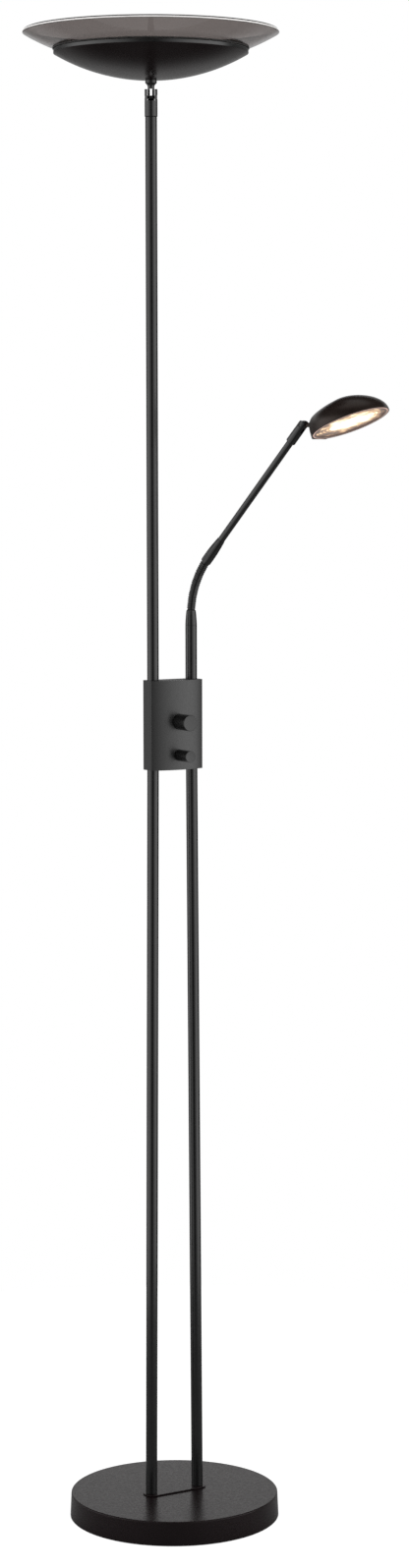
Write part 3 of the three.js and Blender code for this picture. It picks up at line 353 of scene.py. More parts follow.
STEEL = metal("steel", (0.5, 0.5, 0.51), (0.66, 0.66, 0.67), 0.3, (1.0, 1.0, 8.0))
ALUMINIUM = metal("aluminium", (0.66, 0.67, 0.68), (0.78, 0.79, 0.8), 0.32, (1.0, 12.0, 1.0))
SATIN_BLACK = satin_black()
BASE_BLACK = base_black()
DISH_BLACK = dish_black()
HEAD_BLACK = head_black()
BOX_BLACK = box_black()
KNOB_BLACK = knob_black()
BLACK_PLASTIC = black_plastic()
CAST_IRON = cast_iron()
RUBBER = rubber()
CIRCUIT_BOARD = circuit_board()
OPAL = opal()
SMOKED_GLASS = smoked_glass()
GLASS_EDGE_HIGHLIGHT = glass_edge()
GLASS_EDGE_SHADE = dark_edge()


# --------------------------------------------------------------------------------------------
# Mesh helpers
# --------------------------------------------------------------------------------------------


ON_AXIS = 1e-9  # a profile point nearer than this lies on the axis
CORNER = math.radians(30.0)  # a profile that turns by less has no corner there
CORNER_SHARE = 0.45  # the most of a side that the rounding of one end may take


def finish_mesh(name, mesh, material, body, angle=35.0):
    """Makes an object of a mesh: smooth but for its edges, with its material, on its body."""
    mesh.materials.clear()
    mesh.materials.append(material)
    piece = bpy.data.objects.new(name, mesh)
    bpy.context.scene.collection.objects.link(piece)
    settle_normals(piece, angle)
    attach(piece, body)
    return piece


def settle_normals(piece, angle):
    """Smooth, but for edges sharper than the angle, and with flats that stay flat up to their edges."""
    mesh = piece.data
    mesh.polygons.foreach_set("use_smooth", [True] * len(mesh.polygons))
    mesh.set_sharp_from_angle(angle=math.radians(angle))
    modifier = piece.modifiers.new("normals", "WEIGHTED_NORMAL")
    modifier.keep_sharp = True
    apply_modifiers(piece)


def apply_modifiers(piece):
    """Replaces the mesh by what the modifiers make of it."""
    graph = bpy.context.evaluated_depsgraph_get()
    mesh = bpy.data.meshes.new_from_object(piece.evaluated_get(graph))
    piece.modifiers.clear()
    piece.data = mesh


def body_of(node):
    for body, members in frame["record"]["behaviour"]["bodies"].items():
        if node in members:
            return body
    raise ValueError(node)


def refined(node, material, bevel=0.0, angle=32.0):
    """A clean copy of a CAD node: welded, flat areas merged, edges eased, shaded smooth."""
    mesh = nodes[node].data.copy()
    work = bmesh.new()
    work.from_mesh(mesh)
    bmesh.ops.remove_doubles(work, verts=work.verts, dist=0.002 * MM)
    bmesh.ops.dissolve_limit(
        work, angle_limit=math.radians(0.6), verts=work.verts, edges=work.edges, delimit=set()
    )
    if bevel:
        sharp = [
            edge
            for edge in work.edges
            if len(edge.link_faces) == 2 and edge.calc_face_angle(0.0) > math.radians(angle)
        ]
        bmesh.ops.bevel(
            work, geom=sharp, offset=bevel, segments=2, profile=0.5, affect="EDGES", clamp_overlap=True
        )
    bmesh.ops.recalc_face_normals(work, faces=work.faces)
    work.to_mesh(mesh)
    work.free()
    piece = finish_mesh(f"{node}_finish", mesh, material, body_of(node), angle)
    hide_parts(node)
    return piece


def turned_mesh(profile, segments, place=Matrix.Identity(4)):
    """A revolve of (radius, height) points in metres; the ring closes on itself or on the axis."""
    work = bmesh.new()
    closed = profile[0][0] > ON_AXIS
    rings = []
    for radius, height in profile:
        if radius < ON_AXIS:
            rings.append([work.verts.new((0.0, 0.0, height))])
            continue
        rings.append(
            [
                work.verts.new(
                    (
                        radius * math.cos(2 * math.pi * i / segments),
                        radius * math.sin(2 * math.pi * i / segments),
                        height,
                    )
                )
                for i in range(segments)
            ]
        )
    pairs = list(zip(rings, rings[1:])) + ([(rings[-1], rings[0])] if closed else [])
    for lower, upper in pairs:
        for i in range(segments):
            j = (i + 1) % segments
            if len(lower) == 1 and len(upper) == 1:
                continue
            if len(lower) == 1:
                work.faces.new((lower[0], upper[i], upper[j]))
            elif len(upper) == 1:
                work.faces.new((lower[i], lower[j], upper[0]))
            else:
                work.faces.new((lower[i], lower[j], upper[j], upper[i]))
    bmesh.ops.recalc_face_normals(work, faces=work.faces)
    work.transform(place)
    mesh = bpy.data.meshes.new("turned")
    work.to_mesh(mesh)
    work.free()
    return mesh


def turned(name, profile, material, body, place=Matrix.Identity(4), segments=64, stands_for=(), angle=35.0):
    """A turned piece on its body, in place of the CAD nodes that it stands for."""
    piece = finish_mesh(name, turned_mesh(profile, segments, place), material, body, angle)
    if stands_for:
        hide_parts(*stands_for)
    return piece


def combine(piece, mesh, operation="DIFFERENCE"):
    """Cuts the form of a mesh out of a piece, or joins it to the piece."""
    tool = bpy.data.objects.new("tool", mesh)
    bpy.context.scene.collection.objects.link(tool)
    modifier = piece.modifiers.new("tool", "BOOLEAN")
    modifier.operation = operation
    modifier.solver = "EXACT"
    modifier.object = tool
    apply_modifiers(piece)
    bpy.data.objects.remove(tool)


def arc(centre_r, centre_z, radius, start, end, steps):
    """Profile points along an arc; angles in degrees."""
    return [
        (
            centre_r + radius * math.cos(math.radians(start + (end - start) * i / steps)),
            centre_z + radius * math.sin(math.radians(start + (end - start) * i / steps)),
        )
        for i in range(steps + 1)
    ]


def rounded(profile, radius, steps=3):
    """Rounds every corner of a closed or axis-bound profile that turns by more than 30 degrees."""
    result = []
    count = len(profile)
    ring = profile[0][0] > ON_AXIS
    for i, point in enumerate(profile):
        if not ring and i in (0, count - 1):
            result.append(point)
            continue
        before = Vector(profile[i - 1])
        here = Vector(point)
        after = Vector(profile[(i + 1) % count])
        inward = (before - here).normalized()
        onward = (after - here).normalized()
        turn = math.pi - inward.angle(onward)
        if turn < CORNER:
            result.append(point)
            continue
        side = min((before - here).length, (after - here).length)
        reach = min(radius * math.tan(turn / 2), side * CORNER_SHARE)
        for k in range(steps + 1):
            t = k / steps
            first = here + inward * reach
            last = here + onward * reach
            curve = first.lerp(here, t).lerp(here.lerp(last, t), t)
            result.append(tuple(curve))
    return result


def rod_profile(radius, low, high):
    """The profile of a plain round bar, which starts and ends on the axis."""
    return [(0.0, low), (radius, low), (radius, high), (0.0, high)]


def frame_matrix(origin, z_axis, x_hint=(1.0, 0.0, 0.0)):
    """Places a piece by its origin and the direction of its Z, with its X nearest to the hint."""
    z_axis = Vector(z_axis).normalized()
    y_axis = z_axis.cross(Vector(x_hint)).normalized()
    x_axis = y_axis.cross(z_axis)
    matrix = Matrix((x_axis, y_axis, z_axis)).transposed().to_4x4()
    matrix.translation = origin
    return matrix


def ring_centre(node, low_end):
    """Centre of the lower or upper end of a straight node."""
    points = [vertex.co for vertex in nodes[node].data.vertices]
    edge = min(p.z for p in points) if low_end else max(p.z for p in points)
    near = [p for p in points if abs(p.z - edge) < 1.5 * MM]
    return sum(near, Vector()) / len(near)


# --------------------------------------------------------------------------------------------
# Base and poles
# --------------------------------------------------------------------------------------------


def make_base():
    low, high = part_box("base_cover")
    radius = high.x
    top = high.z
    wall = 1.5 * MM
    draft = 1.25 * MM
    edge = 1.6 * MM
    inner_corner = 1.0 * MM
    rim = 0.4 * MM
    profile = [
        (0.0, top - wall),
        (radius - draft - wall - inner_corner, top - wall),
        (radius - wall, low.z),
        (radius - rim, low.z),
        (radius, low.z + rim),
        *arc(radius - draft - edge, top - edge, edge, 0, 90, 8),
        (0.0, top),
    ]
    cover = turned("base_cover_finish", profile, BASE_BLACK, "stand", segments=192, angle=40.0)
    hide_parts("base_cover")
    grommet_low, grommet_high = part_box("cord_grommet")
    middle = (grommet_low + grommet_high) / 2
    cord_hole = rod_profile(4.8 * MM, -20.0 * MM, 20.0 * MM)
    combine(cover, turned_mesh(cord_hole, 32, frame_matrix(middle, (0.0, 1.0, 0.0))))
    settle_normals(cover, 40.0)
    refined("cord_grommet", RUBBER, 0.2 * MM)
    refined("base_pad", RUBBER)
    refined("base_weight", CAST_IRON)
    refined("foot_plate", BASE_BLACK, 0.5 * MM)
    for node in ("main_foot_stud", "reading_foot_stud", "main_foot_nut", "reading_foot_nut"):
        refined(node, STEEL)


def make_tube(node):
    start = ring_centre(node, True)
    end = ring_centre(node, False)
    length = (end - start).length
    outer = 7.0 * MM
    inner = outer - 1.0 * MM
    profile = rounded([(inner, 0.0), (outer, 0.0), (outer, length), (inner, length)], 0.2 * MM, 2)
    turned(f"{node}_finish", profile, SATIN_BLACK, "stand", frame_matrix(start, end - start), 48, (node,))


def make_poles():
    for node in ("main_lower_tube", "reading_lower_tube", "main_upper_tube", "reading_upper_tube"):
        make_tube(node)
    for node in ("main_coupler", "reading_coupler"):
        refined(node, STEEL)


# --------------------------------------------------------------------------------------------
# Control box
# --------------------------------------------------------------------------------------------


SCREW_RADIUS = 1.6 * MM
SCREW_HEAD_HEIGHT = 1.8 * MM
CROSS_WIDTH = 0.7 * MM
CROSS_TURN = 0.35  # radians by which the cross in a screw's head stands askew


def make_box():
    refined("box_front_cover", BOX_BLACK, 0.4 * MM)
    refined("box_back_channel", BOX_BLACK, 0.2 * MM)
    refined("box_top_cap", BLACK_PLASTIC, 0.2 * MM)
    refined("box_bottom_cap", BLACK_PLASTIC, 0.2 * MM)
    for node in ("lower_clamp_bar", "upper_clamp_bar", "uplight_dimmer_shaft", "reading_dimmer_shaft"):
        refined(node, STEEL)
    for node in ("lower_clamp_screw", "upper_clamp_screw", "lower_cover_screw", "upper_cover_screw"):
        make_back_screw(node)
    refined("dimmer_board", CIRCUIT_BOARD)
    for node in ("uplight_dimmer", "reading_dimmer"):
        refined(node, BLACK_PLASTIC)
    for node in ("uplight_knob", "reading_knob"):
        make_knob(node)


def make_back_screw(node):
    """A pan-head screw with a cross recess, driven in from the back of the box."""
    low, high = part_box(node)
    head = (high.z - low.z) / 2
    shank = SCREW_RADIUS
    length = high.y - low.y
    under = length - SCREW_HEAD_HEIGHT
    profile = [
        (0.0, 0.0),
        (shank * 0.7, 0.0),
        (shank, shank * 0.6),
        (shank, under),
        (head, under),
        (head, under + SCREW_HEAD_HEIGHT * 0.35),
        (head * 0.86, length - 0.25 * MM),
        (head * 0.6, length),
        (0.0, length),
    ]
    tip = Vector(((low.x + high.x) / 2, low.y, (low.z + high.z) / 2))
    place = frame_matrix(tip, (0.0, 1.0, 0.0))
    screw = turned(f"{node}_finish", rounded(profile, 0.2 * MM), STEEL, body_of(node), place, 40, (node,))
    for quarter in (0.0, math.pi / 2):
        bar = bmesh.new()
        bmesh.ops.create_cube(bar, size=1.0)
        bar.transform(Matrix.Diagonal((head * 1.2, CROSS_WIDTH, SCREW_HEAD_HEIGHT, 1.0)))
        bar.transform(Matrix.Rotation(quarter + CROSS_TURN, 4, "Z"))
        bar.transform(place @ Matrix.Translation((0.0, 0.0, length)))
        mesh = bpy.data.meshes.new("cross")
        bar.to_mesh(mesh)
        bar.free()
        combine(screw, mesh)
    settle_normals(screw, 35.0)


def make_knob(node):
    """A turned knob with eased edges and a face that is dished by a fraction of a millimetre."""
    low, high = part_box(node)
    radius = (high.x - low.x) / 2
    length = high.y - low.y
    centre = Vector(((low.x + high.x) / 2, high.y, (low.z + high.z) / 2))
    dish = 0.2 * MM
    rim = 0.6 * MM
    hollow = 2.6 * MM
    profile = [
        (0.0, length - dish),
        (radius * 0.8, length - dish),
        (radius * 0.86, length),
        (radius, length),
        (radius, 0.0),
        (radius - rim, 0.0),
        (radius - rim, hollow),
        (0.0, hollow),
    ]
    place = frame_matrix(centre, (0.0, -1.0, 0.0))
    turned(f"{node}_finish", rounded(profile, 0.6 * MM), KNOB_BLACK, body_of(node), place, 72, (node,))


# --------------------------------------------------------------------------------------------
# Uplight
# --------------------------------------------------------------------------------------------


def make_uplight():
    pivot = Vector(joints["uplight_tilt"]["pos_m"])
    refined("uplight_collar", SATIN_BLACK, 0.3 * MM)
    refined("uplight_neck", SATIN_BLACK, 0.2 * MM)
    refined("uplight_pivot_screw", SATIN_BLACK, 0.2 * MM)
    for node in ("dish_nut", "diffuser_cap_nut"):
        refined(node, STEEL, 0.3 * MM)
    refined("led_carrier", ALUMINIUM)
    refined("uplight_led_board", CIRCUIT_BOARD)
    place = Matrix.Translation((pivot.x, pivot.y, 0.0))
    make_diffuser(place)
    make_gasket(place)
    make_dish(place)
    make_glass(place)


def make_diffuser(place):
    """The opal disc over the light source, with an eased rim and a hole for its stud."""
    low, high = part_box("uplight_diffuser")
    radius = (high.y - low.y) / 2
    hole = 2.7 * MM
    bevel = 1.0 * MM
    profile = rounded(
        [(hole, low.z), (radius, low.z), (radius, high.z - bevel), (radius - bevel, high.z), (hole, high.z)],
        0.5 * MM,
    )
    turned("uplight_diffuser_finish", profile, OPAL, "uplight", place, 128, ("uplight_diffuser",))


def make_gasket(place):
    """The rubber ring between dish and glass, with its top sloped to fit the glass."""
    low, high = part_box("glass_gasket")
    outer = (high.y - low.y) / 2
    inner = outer - 2.2 * MM
    fall = 0.8 * MM
    profile = [(inner, low.z), (outer, low.z), (outer, high.z), (inner, high.z - fall)]
    profile = rounded(profile, 0.15 * MM)
    turned("glass_gasket_finish", profile, RUBBER, "uplight", place, 160, ("glass_gasket",))


def make_dish(place):
    """A spun shell with a short upright lip, whose outside is painted like the tubes."""
    low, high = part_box("dish_shell")
    radius = (high.x - low.x) / 2
    curve = 231.0 * MM
    wall = 1.2 * MM
    hole = 5.0 * MM
    lip_edge = 0.8 * MM
    ease = 0.3 * MM
    steps = 26
    centre = low.z + math.sqrt(curve**2 - hole**2)

    def angle(reach, r):
        return -math.degrees(math.acos(r / reach))

    outer = arc(0.0, centre, curve, angle(curve, hole), angle(curve, radius), steps)
    within = curve - wall
    inner = arc(0.0, centre, within, angle(within, radius - wall), angle(within, hole), steps)
    top = high.z
    lip = [
        (radius, outer[-1][1] + ease),
        (radius, top - lip_edge - ease),
        *arc(radius - lip_edge, top - lip_edge, lip_edge, 10, 90, 4),
        (radius - wall, top),
    ]
    profile = outer + lip + inner
    dish = turned("dish_shell_finish", profile, DISH_BLACK, "uplight", place, 192, ("dish_shell",), 40.0)
    paint_faces(dish, SATIN_BLACK, lambda face, out: face.center.z > lip[0][1] and face.normal.dot(out) > 0.2)


def paint_faces(piece, material, chosen):
    """Gives a second material to the faces that pass a test, which is told their outward direction."""
    piece.data.materials.append(material)
    axis = Vector(joints["uplight_tilt"]["pos_m"])
    for face in piece.data.polygons:
        out = Vector((face.center.x - axis.x, face.center.y - axis.y, 0.0)).normalized()
        if chosen(face, out):
            face.material_index = len(piece.data.materials) - 1


def make_glass(place):
    """The ring of bent glass, whose edge is painted pale in its lower half as a painted highlight, and dark in its
    upper one as painted shade.
    """
    low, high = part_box("smoked_glass")
    radius = (high.x - low.x) / 2
    points = {
        (round(math.hypot(v.co.x - place.translation.x, v.co.y - place.translation.y), 5), round(v.co.z, 5))
        for v in nodes["smoked_glass"].data.vertices
    }
    rim_foot = max(points, key=lambda p: (p[0], -p[1]))[1]
    curve = 250.0 * MM
    thickness = 4.0 * MM
    inner_radius = 100.0 * MM
    slope = math.radians(30.0)
    steps = 22
    centre_r = radius - curve * math.sin(slope)
    centre_z = rim_foot + curve * math.cos(slope)

    def angle(reach, r):
        return -math.degrees(math.acos((r - centre_r) / reach))

    start = angle(curve, inner_radius)
    end = angle(curve, radius)
    under = arc(centre_r, centre_z, curve, start, end, steps)
    over = arc(centre_r, centre_z, curve - thickness, end, start, steps)
    middle = ((under[-1][0] + over[0][0]) / 2, (under[-1][1] + over[0][1]) / 2)
    profile = rounded(under + [middle] + over, 1.2 * MM, 4)
    glass = turned(
        "smoked_glass_finish", profile, SMOKED_GLASS, "uplight", place, 256, ("smoked_glass",), 40.0
    )
    rise = Vector((0.0, 0.0, math.sin(slope)))

    def faces_out(face, out):
        return face.normal.dot(out * math.cos(slope) + rise)

    # painted highlight: the outward faces of the edge are painted pale
    paint_faces(glass, GLASS_EDGE_HIGHLIGHT, lambda face, out: faces_out(face, out) > 0.85)
    # painted shade: the upper half of the edge is painted dark
    paint_faces(glass, GLASS_EDGE_SHADE, lambda face, out: faces_out(face, out) > 0.5 and face.center.z > middle[1])


# --------------------------------------------------------------------------------------------
# Gooseneck, arm and reading head
# --------------------------------------------------------------------------------------------


RIBS = 3  # on each link
RIB_CREST = 5.4 * MM
RIB_ROOT = 4.6 * MM
RIB_FLAT = 1.2 * MM  # the ends of the CAD's links fall away beyond this radius
RIB_GAP = 0.2 * MM
RELIEF = math.radians(8.0)
BALL_RADIUS = 4.4 * MM
SOCKET_RADIUS = 4.5 * MM
MOUTH_ANGLE = 8.5  # degrees; the hollow starts this far above its pivot's level, the ball as far below
# The outline of the ferrule above its foot: radius in millimetres, share of its height
FERRULE_OUTLINE = ((7.0, 0.06), (6.72, 0.32), (6.28, 0.6), (5.88, 0.82), (5.65, 0.9), (4.6, 0.965))
FERRULE_FOOT_RADIUS = 7.0 * MM
SLEEVE_LENGTH = 36.0 * MM
SLEEVE_RADIUS = 6.35 * MM
SLEEVE_TOP_RADIUS = 4.75 * MM
SLEEVE_STRAIGHT = 0.3  # share of its length
# The mouth of the sleeve, outside its hollow: radius and height in millimetres
SLEEVE_MOUTH = ((4.6, 0.8), (5.8, 1.2), (6.3, 2.2))
ROD_RADIUS = 4.25 * MM
ROD_HOLD = 1.5 * MM  # the rod reaches this far into the sleeve
ROD_END = 201.2 * MM  # from the last pivot of the hose


def chain_points():
    """The pivots of the hose, from its foot to the arm."""
    names = []
    for number in range(1, 5):
        names += [f"gooseneck_bend_{number}", f"gooseneck_side_{number}"]
    names.append("gooseneck_bend_5")
    return [Vector(joints[name]["pos_m"]) for name in names]


def socket_points():
    """The hollow at a hose piece's foot, round the pivot at height 0, from the axis to its mouth."""
    return [(0.0, SOCKET_RADIUS)] + arc(0.0, 0.0, SOCKET_RADIUS, 90.0, MOUTH_ANGLE, 10)[1:]


def ball_points(height):
    """The ball at a hose piece's top, round the pivot at that height, up to the axis."""
    return arc(0.0, height, BALL_RADIUS, -MOUTH_ANGLE, 90.0, 12)[:-1] + [(0.0, height + BALL_RADIUS)]


def make_gooseneck():
    """Eight links, each with three rolled ribs of the spiral hose.

    Their ends fall away by RELIEF, as the CAD's do, so that no rib meets the next link's when the
    hose is bent to its limit. A ball round each pivot, in a hollow of the next piece, closes the
    view through the joint in every pose.
    """
    points = chain_points()
    across = Vector(joints["gooseneck_bend_1"]["axis"])
    for number, (start, end) in enumerate(zip(points, points[1:]), 1):
        length = (end - start).length
        pitch = length / RIBS
        fall = RIB_GAP + (RIB_ROOT - RIB_FLAT) * math.tan(RELIEF)
        half = pitch / 2 - fall
        profile = socket_points()
        for rib in range(RIBS):
            middle = pitch * (rib + 0.5)
            for step in range(9):
                angle = math.pi * step / 8
                height = middle - math.cos(angle) * half
                profile.append((RIB_ROOT + (RIB_CREST - RIB_ROOT) * math.sin(angle) ** 0.8, height))
        profile += ball_points(length)
        node = f"gooseneck_link_{number}"
        place = frame_matrix(start, end - start, across)
        turned(f"{node}_finish", profile, SATIN_BLACK, f"gooseneck_{number}", place, 40, (node,), 50.0)


def make_ferrule():
    """The tapered end of the reading pole, with the ball of the hose's first joint."""
    low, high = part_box("reading_ferrule")
    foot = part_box("reading_upper_tube")[1].z + SEAM
    x = (low.x + high.x) / 2
    height = high.z - foot
    profile = [(0.0, 0.0), (FERRULE_FOOT_RADIUS, 0.0)]
    profile += [(radius * MM, height * share) for radius, share in FERRULE_OUTLINE]
    profile += ball_points(joints["gooseneck_bend_1"]["pos_m"][2] - foot)
    turned(
        "reading_ferrule_finish", rounded(profile, 0.3 * MM), SATIN_BLACK, "stand",
        Matrix.Translation((x, 0.0, foot)), 48, ("reading_ferrule",), 50.0,
    )


def make_arm():
    """The sleeve with the hollow of the hose's last joint, the rod, and the collar at its end."""
    start = chain_points()[-1]
    pivot = Vector(joints["reading_head_tilt"]["pos_m"])
    across = Vector(joints["reading_head_tilt"]["axis"])
    place = frame_matrix(start, (pivot - start).normalized(), across)
    straight = SLEEVE_LENGTH * SLEEVE_STRAIGHT
    sleeve = socket_points() + [(radius * MM, height * MM) for radius, height in SLEEVE_MOUTH]
    steps = 12
    for step in range(steps + 1):
        share = step / steps
        radius = SLEEVE_TOP_RADIUS + (SLEEVE_RADIUS - SLEEVE_TOP_RADIUS) * math.cos(share * math.pi / 2)
        sleeve.append((radius, straight + (SLEEVE_LENGTH - straight) * share))
    throat = 4.3 * MM
    floor = SLEEVE_LENGTH - 2.0 * MM
    sleeve += [(throat, SLEEVE_LENGTH), (throat, floor), (0.0, floor)]
    turned("arm_sleeve_finish", sleeve, SATIN_BLACK, "arm", place, 48, ("arm_sleeve",), 50.0)
    rod = rounded(rod_profile(ROD_RADIUS, SLEEVE_LENGTH - ROD_HOLD, ROD_END), 0.2 * MM)
    turned("arm_rod_finish", rod, SATIN_BLACK, "arm", place, 40, ("arm_rod",), 50.0)
    refined("head_collar", SATIN_BLACK, 0.25 * MM)
    refined("head_pivot_screw", SATIN_BLACK, 0.2 * MM)


HEAD_TILT = math.radians(22.8)  # of the lit face above the horizontal
HEAD_RADIUS = 47.7 * MM
HEAD_REACH = 62.3 * MM  # from the tilt axis to the middle of the face
HEAD_RISE = 30.0 * MM
HEAD_PEAK = 6.0 * MM  # how far past the middle of the face the highest point lies
HEAD_BACK_CURVE = 1.9
HEAD_FRONT_CURVE = 1.7
HEAD_FULLNESS = 2.25
HEAD_END_WIDTH = 33.0 * MM
HEAD_END_HEIGHT = 25.0 * MM
HEAD_END_SETBACK = 0.4 * MM  # the flat end stands this far inside the round rim
HEAD_END_ROUNDING = 2.4 * MM
HEAD_EDGE = 0.3 * MM
HEAD_WALL = 2.6 * MM
HEAD_SECTIONS = 40
ARCH_STEPS = 40
ROUNDING_STEPS = 8
MOUTH_RADIUS = 46.4 * MM
MOUTH_DEPTH = 3.3 * MM
BEZEL_WIDTH = 4.0 * MM
BEZEL_THICKNESS = 1.2 * MM
HEAD_DIFFUSER_THICKNESS = 1.5 * MM
LENS_RIDGES = 11
LUG_SLOPE = math.radians(18.0)  # by which the lug drops from the tilt axis to the head
LUG_RADIUS = 2.6 * MM
LUG_FLARE = 2.2 * MM  # by which it widens towards the head
LUG_STRAIGHT = 8.0 * MM
LUG_ROOT = 4.6 * MM  # how far it reaches into the housing
EYE_RADIUS = 4.4 * MM
EYE_HALF_WIDTH = 2.6 * MM
PIN_HOLE_RADIUS = 1.8 * MM


def head_frame():
    """The reading head's own frame: origin in the face's centre, X away from the joint, Z up the dome."""
    points = [v.co for v in nodes["head_bezel"].data.vertices]
    centre = sum(points, Vector()) / len(points)
    up = Vector((0.0, 0.0, 1.0))
    level = up.cross(Vector(joints["reading_head_tilt"]["axis"])).normalized()
    if level.dot(centre - Vector(joints["reading_head_tilt"]["pos_m"])) < 0.0:
        level = -level
    out = level * math.cos(HEAD_TILT) + up * math.sin(HEAD_TILT)
    normal = up * math.cos(HEAD_TILT) - level * math.sin(HEAD_TILT)
    matrix = Matrix((out, normal.cross(out), normal)).transposed().to_4x4()
    matrix.translation = centre + normal * min((p - centre).dot(normal) for p in points)
    return matrix


def head_height(x):
    """Height of the housing over the face at a distance from the face's middle."""
    if x < HEAD_PEAK:
        share = (HEAD_PEAK - x) / (HEAD_PEAK + HEAD_RADIUS - HEAD_END_SETBACK)
        return HEAD_RISE - (HEAD_RISE - HEAD_END_HEIGHT) * share**HEAD_BACK_CURVE
    share = min(1.0, (x - HEAD_PEAK) / (HEAD_RADIUS - HEAD_PEAK))
    return HEAD_RISE * (1.0 - share**HEAD_FRONT_CURVE) ** (1.0 / HEAD_FRONT_CURVE)


def head_arch(x, half_width, height):
    """Half a superellipse over the face's plane, with a small rounding where it meets the face."""
    low = math.asin((HEAD_EDGE / max(height, 2 * HEAD_EDGE)) ** (HEAD_FULLNESS / 2))
    angles = [low + (math.pi - 2 * low) * i / ARCH_STEPS for i in range(ARCH_STEPS + 1)]
    points = []
    for angle in angles:
        across = math.copysign(abs(math.cos(angle)) ** (2 / HEAD_FULLNESS), math.cos(angle))
        points.append(Vector((x, half_width * across, height * math.sin(angle) ** (2 / HEAD_FULLNESS))))
    inner = max(half_width - HEAD_EDGE, half_width / 2)
    return [Vector((x, inner, 0.0)), *points, Vector((x, -inner, 0.0))]


def head_form(inset, end_width):
    """The housing's form: a thick flat end at the joint, a swelling back and a round nose."""
    radius = HEAD_RADIUS - inset
    end = -HEAD_RADIUS + HEAD_END_SETBACK + inset

    def section(x, shrink):
        half = math.sqrt(max(radius**2 - x**2, 0.0))
        if x < 0.0:
            half = max(half, end_width / 2)
        return head_arch(x, half - shrink, max(head_height(x) - inset - shrink, HEAD_EDGE))

    sections = []
    for step in range(ROUNDING_STEPS + 1):
        turn = math.pi / 2 * step / ROUNDING_STEPS
        setback = HEAD_END_ROUNDING * (1.0 - math.cos(turn))
        sections.append(section(end + setback, HEAD_END_ROUNDING * (1.0 - math.sin(turn))))
    first = math.acos((end + HEAD_END_ROUNDING) / radius)
    for step in range(1, HEAD_SECTIONS):
        sections.append(section(radius * math.cos(first * (1.0 - step / HEAD_SECTIONS)), 0.0))
    work = bmesh.new()
    rings = [[work.verts.new(point) for point in outline] for outline in sections]
    tip = work.verts.new((radius, 0.0, 0.0))
    count = len(rings[0])
    work.faces.new(rings[0])
    for ring, following in zip(rings, rings[1:]):
        for i in range(count):
            j = (i + 1) % count
            work.faces.new((ring[i], ring[j], following[j], following[i]))
    for i in range(count):
        work.faces.new((rings[-1][i], rings[-1][(i + 1) % count], tip))
    bmesh.ops.recalc_face_normals(work, faces=work.faces)
    mesh = bpy.data.meshes.new("head_form")
    work.to_mesh(mesh)
    work.free()
    return mesh


def make_head_housing(place):
    """The shell with its mouth, and the round lug that turns between the collar's ears."""
    mesh = head_form(0.0, HEAD_END_WIDTH)
    mesh.transform(place)
    piece = finish_mesh("head_housing_finish", mesh, HEAD_BLACK, body_of("head_housing"), 30.0)
    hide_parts("head_housing")
    combine(piece, turned_mesh(rod_profile(MOUTH_RADIUS, -1.0 * MM, MOUTH_DEPTH), 128, place))
    hollow = head_form(HEAD_WALL, 0.0)
    hollow.transform(place)
    combine(piece, hollow)
    pivot = Vector(joints["reading_head_tilt"]["pos_m"])
    across = frame_matrix(pivot, Vector(joints["reading_head_tilt"]["axis"]))
    toward = place.col[0].xyz * math.cos(LUG_SLOPE) - place.col[2].xyz * math.sin(LUG_SLOPE)
    reach = HEAD_REACH - HEAD_RADIUS + HEAD_END_SETBACK
    lug = [(0.0, 0.0), (LUG_RADIUS, 0.0)]
    steps = 8
    for step in range(steps + 1):
        share = step / steps
        lug.append((LUG_RADIUS + LUG_FLARE * share**2, LUG_STRAIGHT + (reach - LUG_STRAIGHT) * share))
    lug += [(LUG_RADIUS + LUG_FLARE, reach + LUG_ROOT), (0.0, reach + LUG_ROOT)]
    combine(piece, turned_mesh(lug, 48, frame_matrix(pivot, toward)), "UNION")
    eye = rounded(rod_profile(EYE_RADIUS, -EYE_HALF_WIDTH, EYE_HALF_WIDTH), 0.4 * MM)
    combine(piece, turned_mesh(eye, 48, across), "UNION")
    combine(piece, turned_mesh(rod_profile(PIN_HOLE_RADIUS, -10.0 * MM, 10.0 * MM), 32, across))
    settle_normals(piece, 30.0)


def make_head():
    place = head_frame()
    face = place.translation.copy()
    make_head_housing(place)
    refined("head_led_board", CIRCUIT_BOARD)
    outer = MOUTH_RADIUS - GAP
    low = BEZEL_THICKNESS + GAP
    disc = rounded(rod_profile(outer, low, low + HEAD_DIFFUSER_THICKNESS), 0.3 * MM)
    turned("head_diffuser_finish", disc, lit_opal(face), "reading_head", place, 128, ("head_diffuser",))
    inner = outer - BEZEL_WIDTH
    ring = [(inner, 0.0), (outer, 0.0), (outer, BEZEL_THICKNESS), (inner, BEZEL_THICKNESS)]
    ring = rounded(ring, 0.35 * MM)
    turned("head_bezel_finish", ring, lit_bezel(face), "reading_head", place, 128, ("head_bezel",))


# --------------------------------------------------------------------------------------------
# Studio
# --------------------------------------------------------------------------------------------


FLOOR_RADIUS = 1.15
FLOOR_TONE = 0.3  # its own colour, which gloss sees by the light that falls on it
FLOOR_GLOW = 0.86  # added where the camera looks, so that the lit floor comes out white there
WORLD_LIGHT = 0.6  # strength of the world as a light on the lamp
STUDIO_PEAK = 2.4  # strength of the brightest part of what gloss mirrors
# What gloss mirrors round the lamp: degrees from the camera towards its right, share of the peak
STUDIO = (
    (-180, 0.2), (-171, 0.2), (-163, 0.06), (-135, 0.06), (-118, 0.2), (-100, 0.7), (-75, 0.9),
    (-46, 0.62), (-25, 0.3), (-12, 0.06), (0, 0.02), (12, 0.06), (22, 0.28), (34, 0.55), (55, 0.9),
    (80, 1.0), (93, 0.8), (102, 0.25), (110, 0.06), (163, 0.06), (171, 0.2), (180, 0.2),
)
# How much of that it finds at each height: sine of the elevation, share
HEIGHTS = ((-0.72, 0.0), (-0.55, 1.0), (-0.3, 0.75), (-0.21, 0.78), (-0.11, 1.0), (0.28, 1.0), (0.44, 0.06))
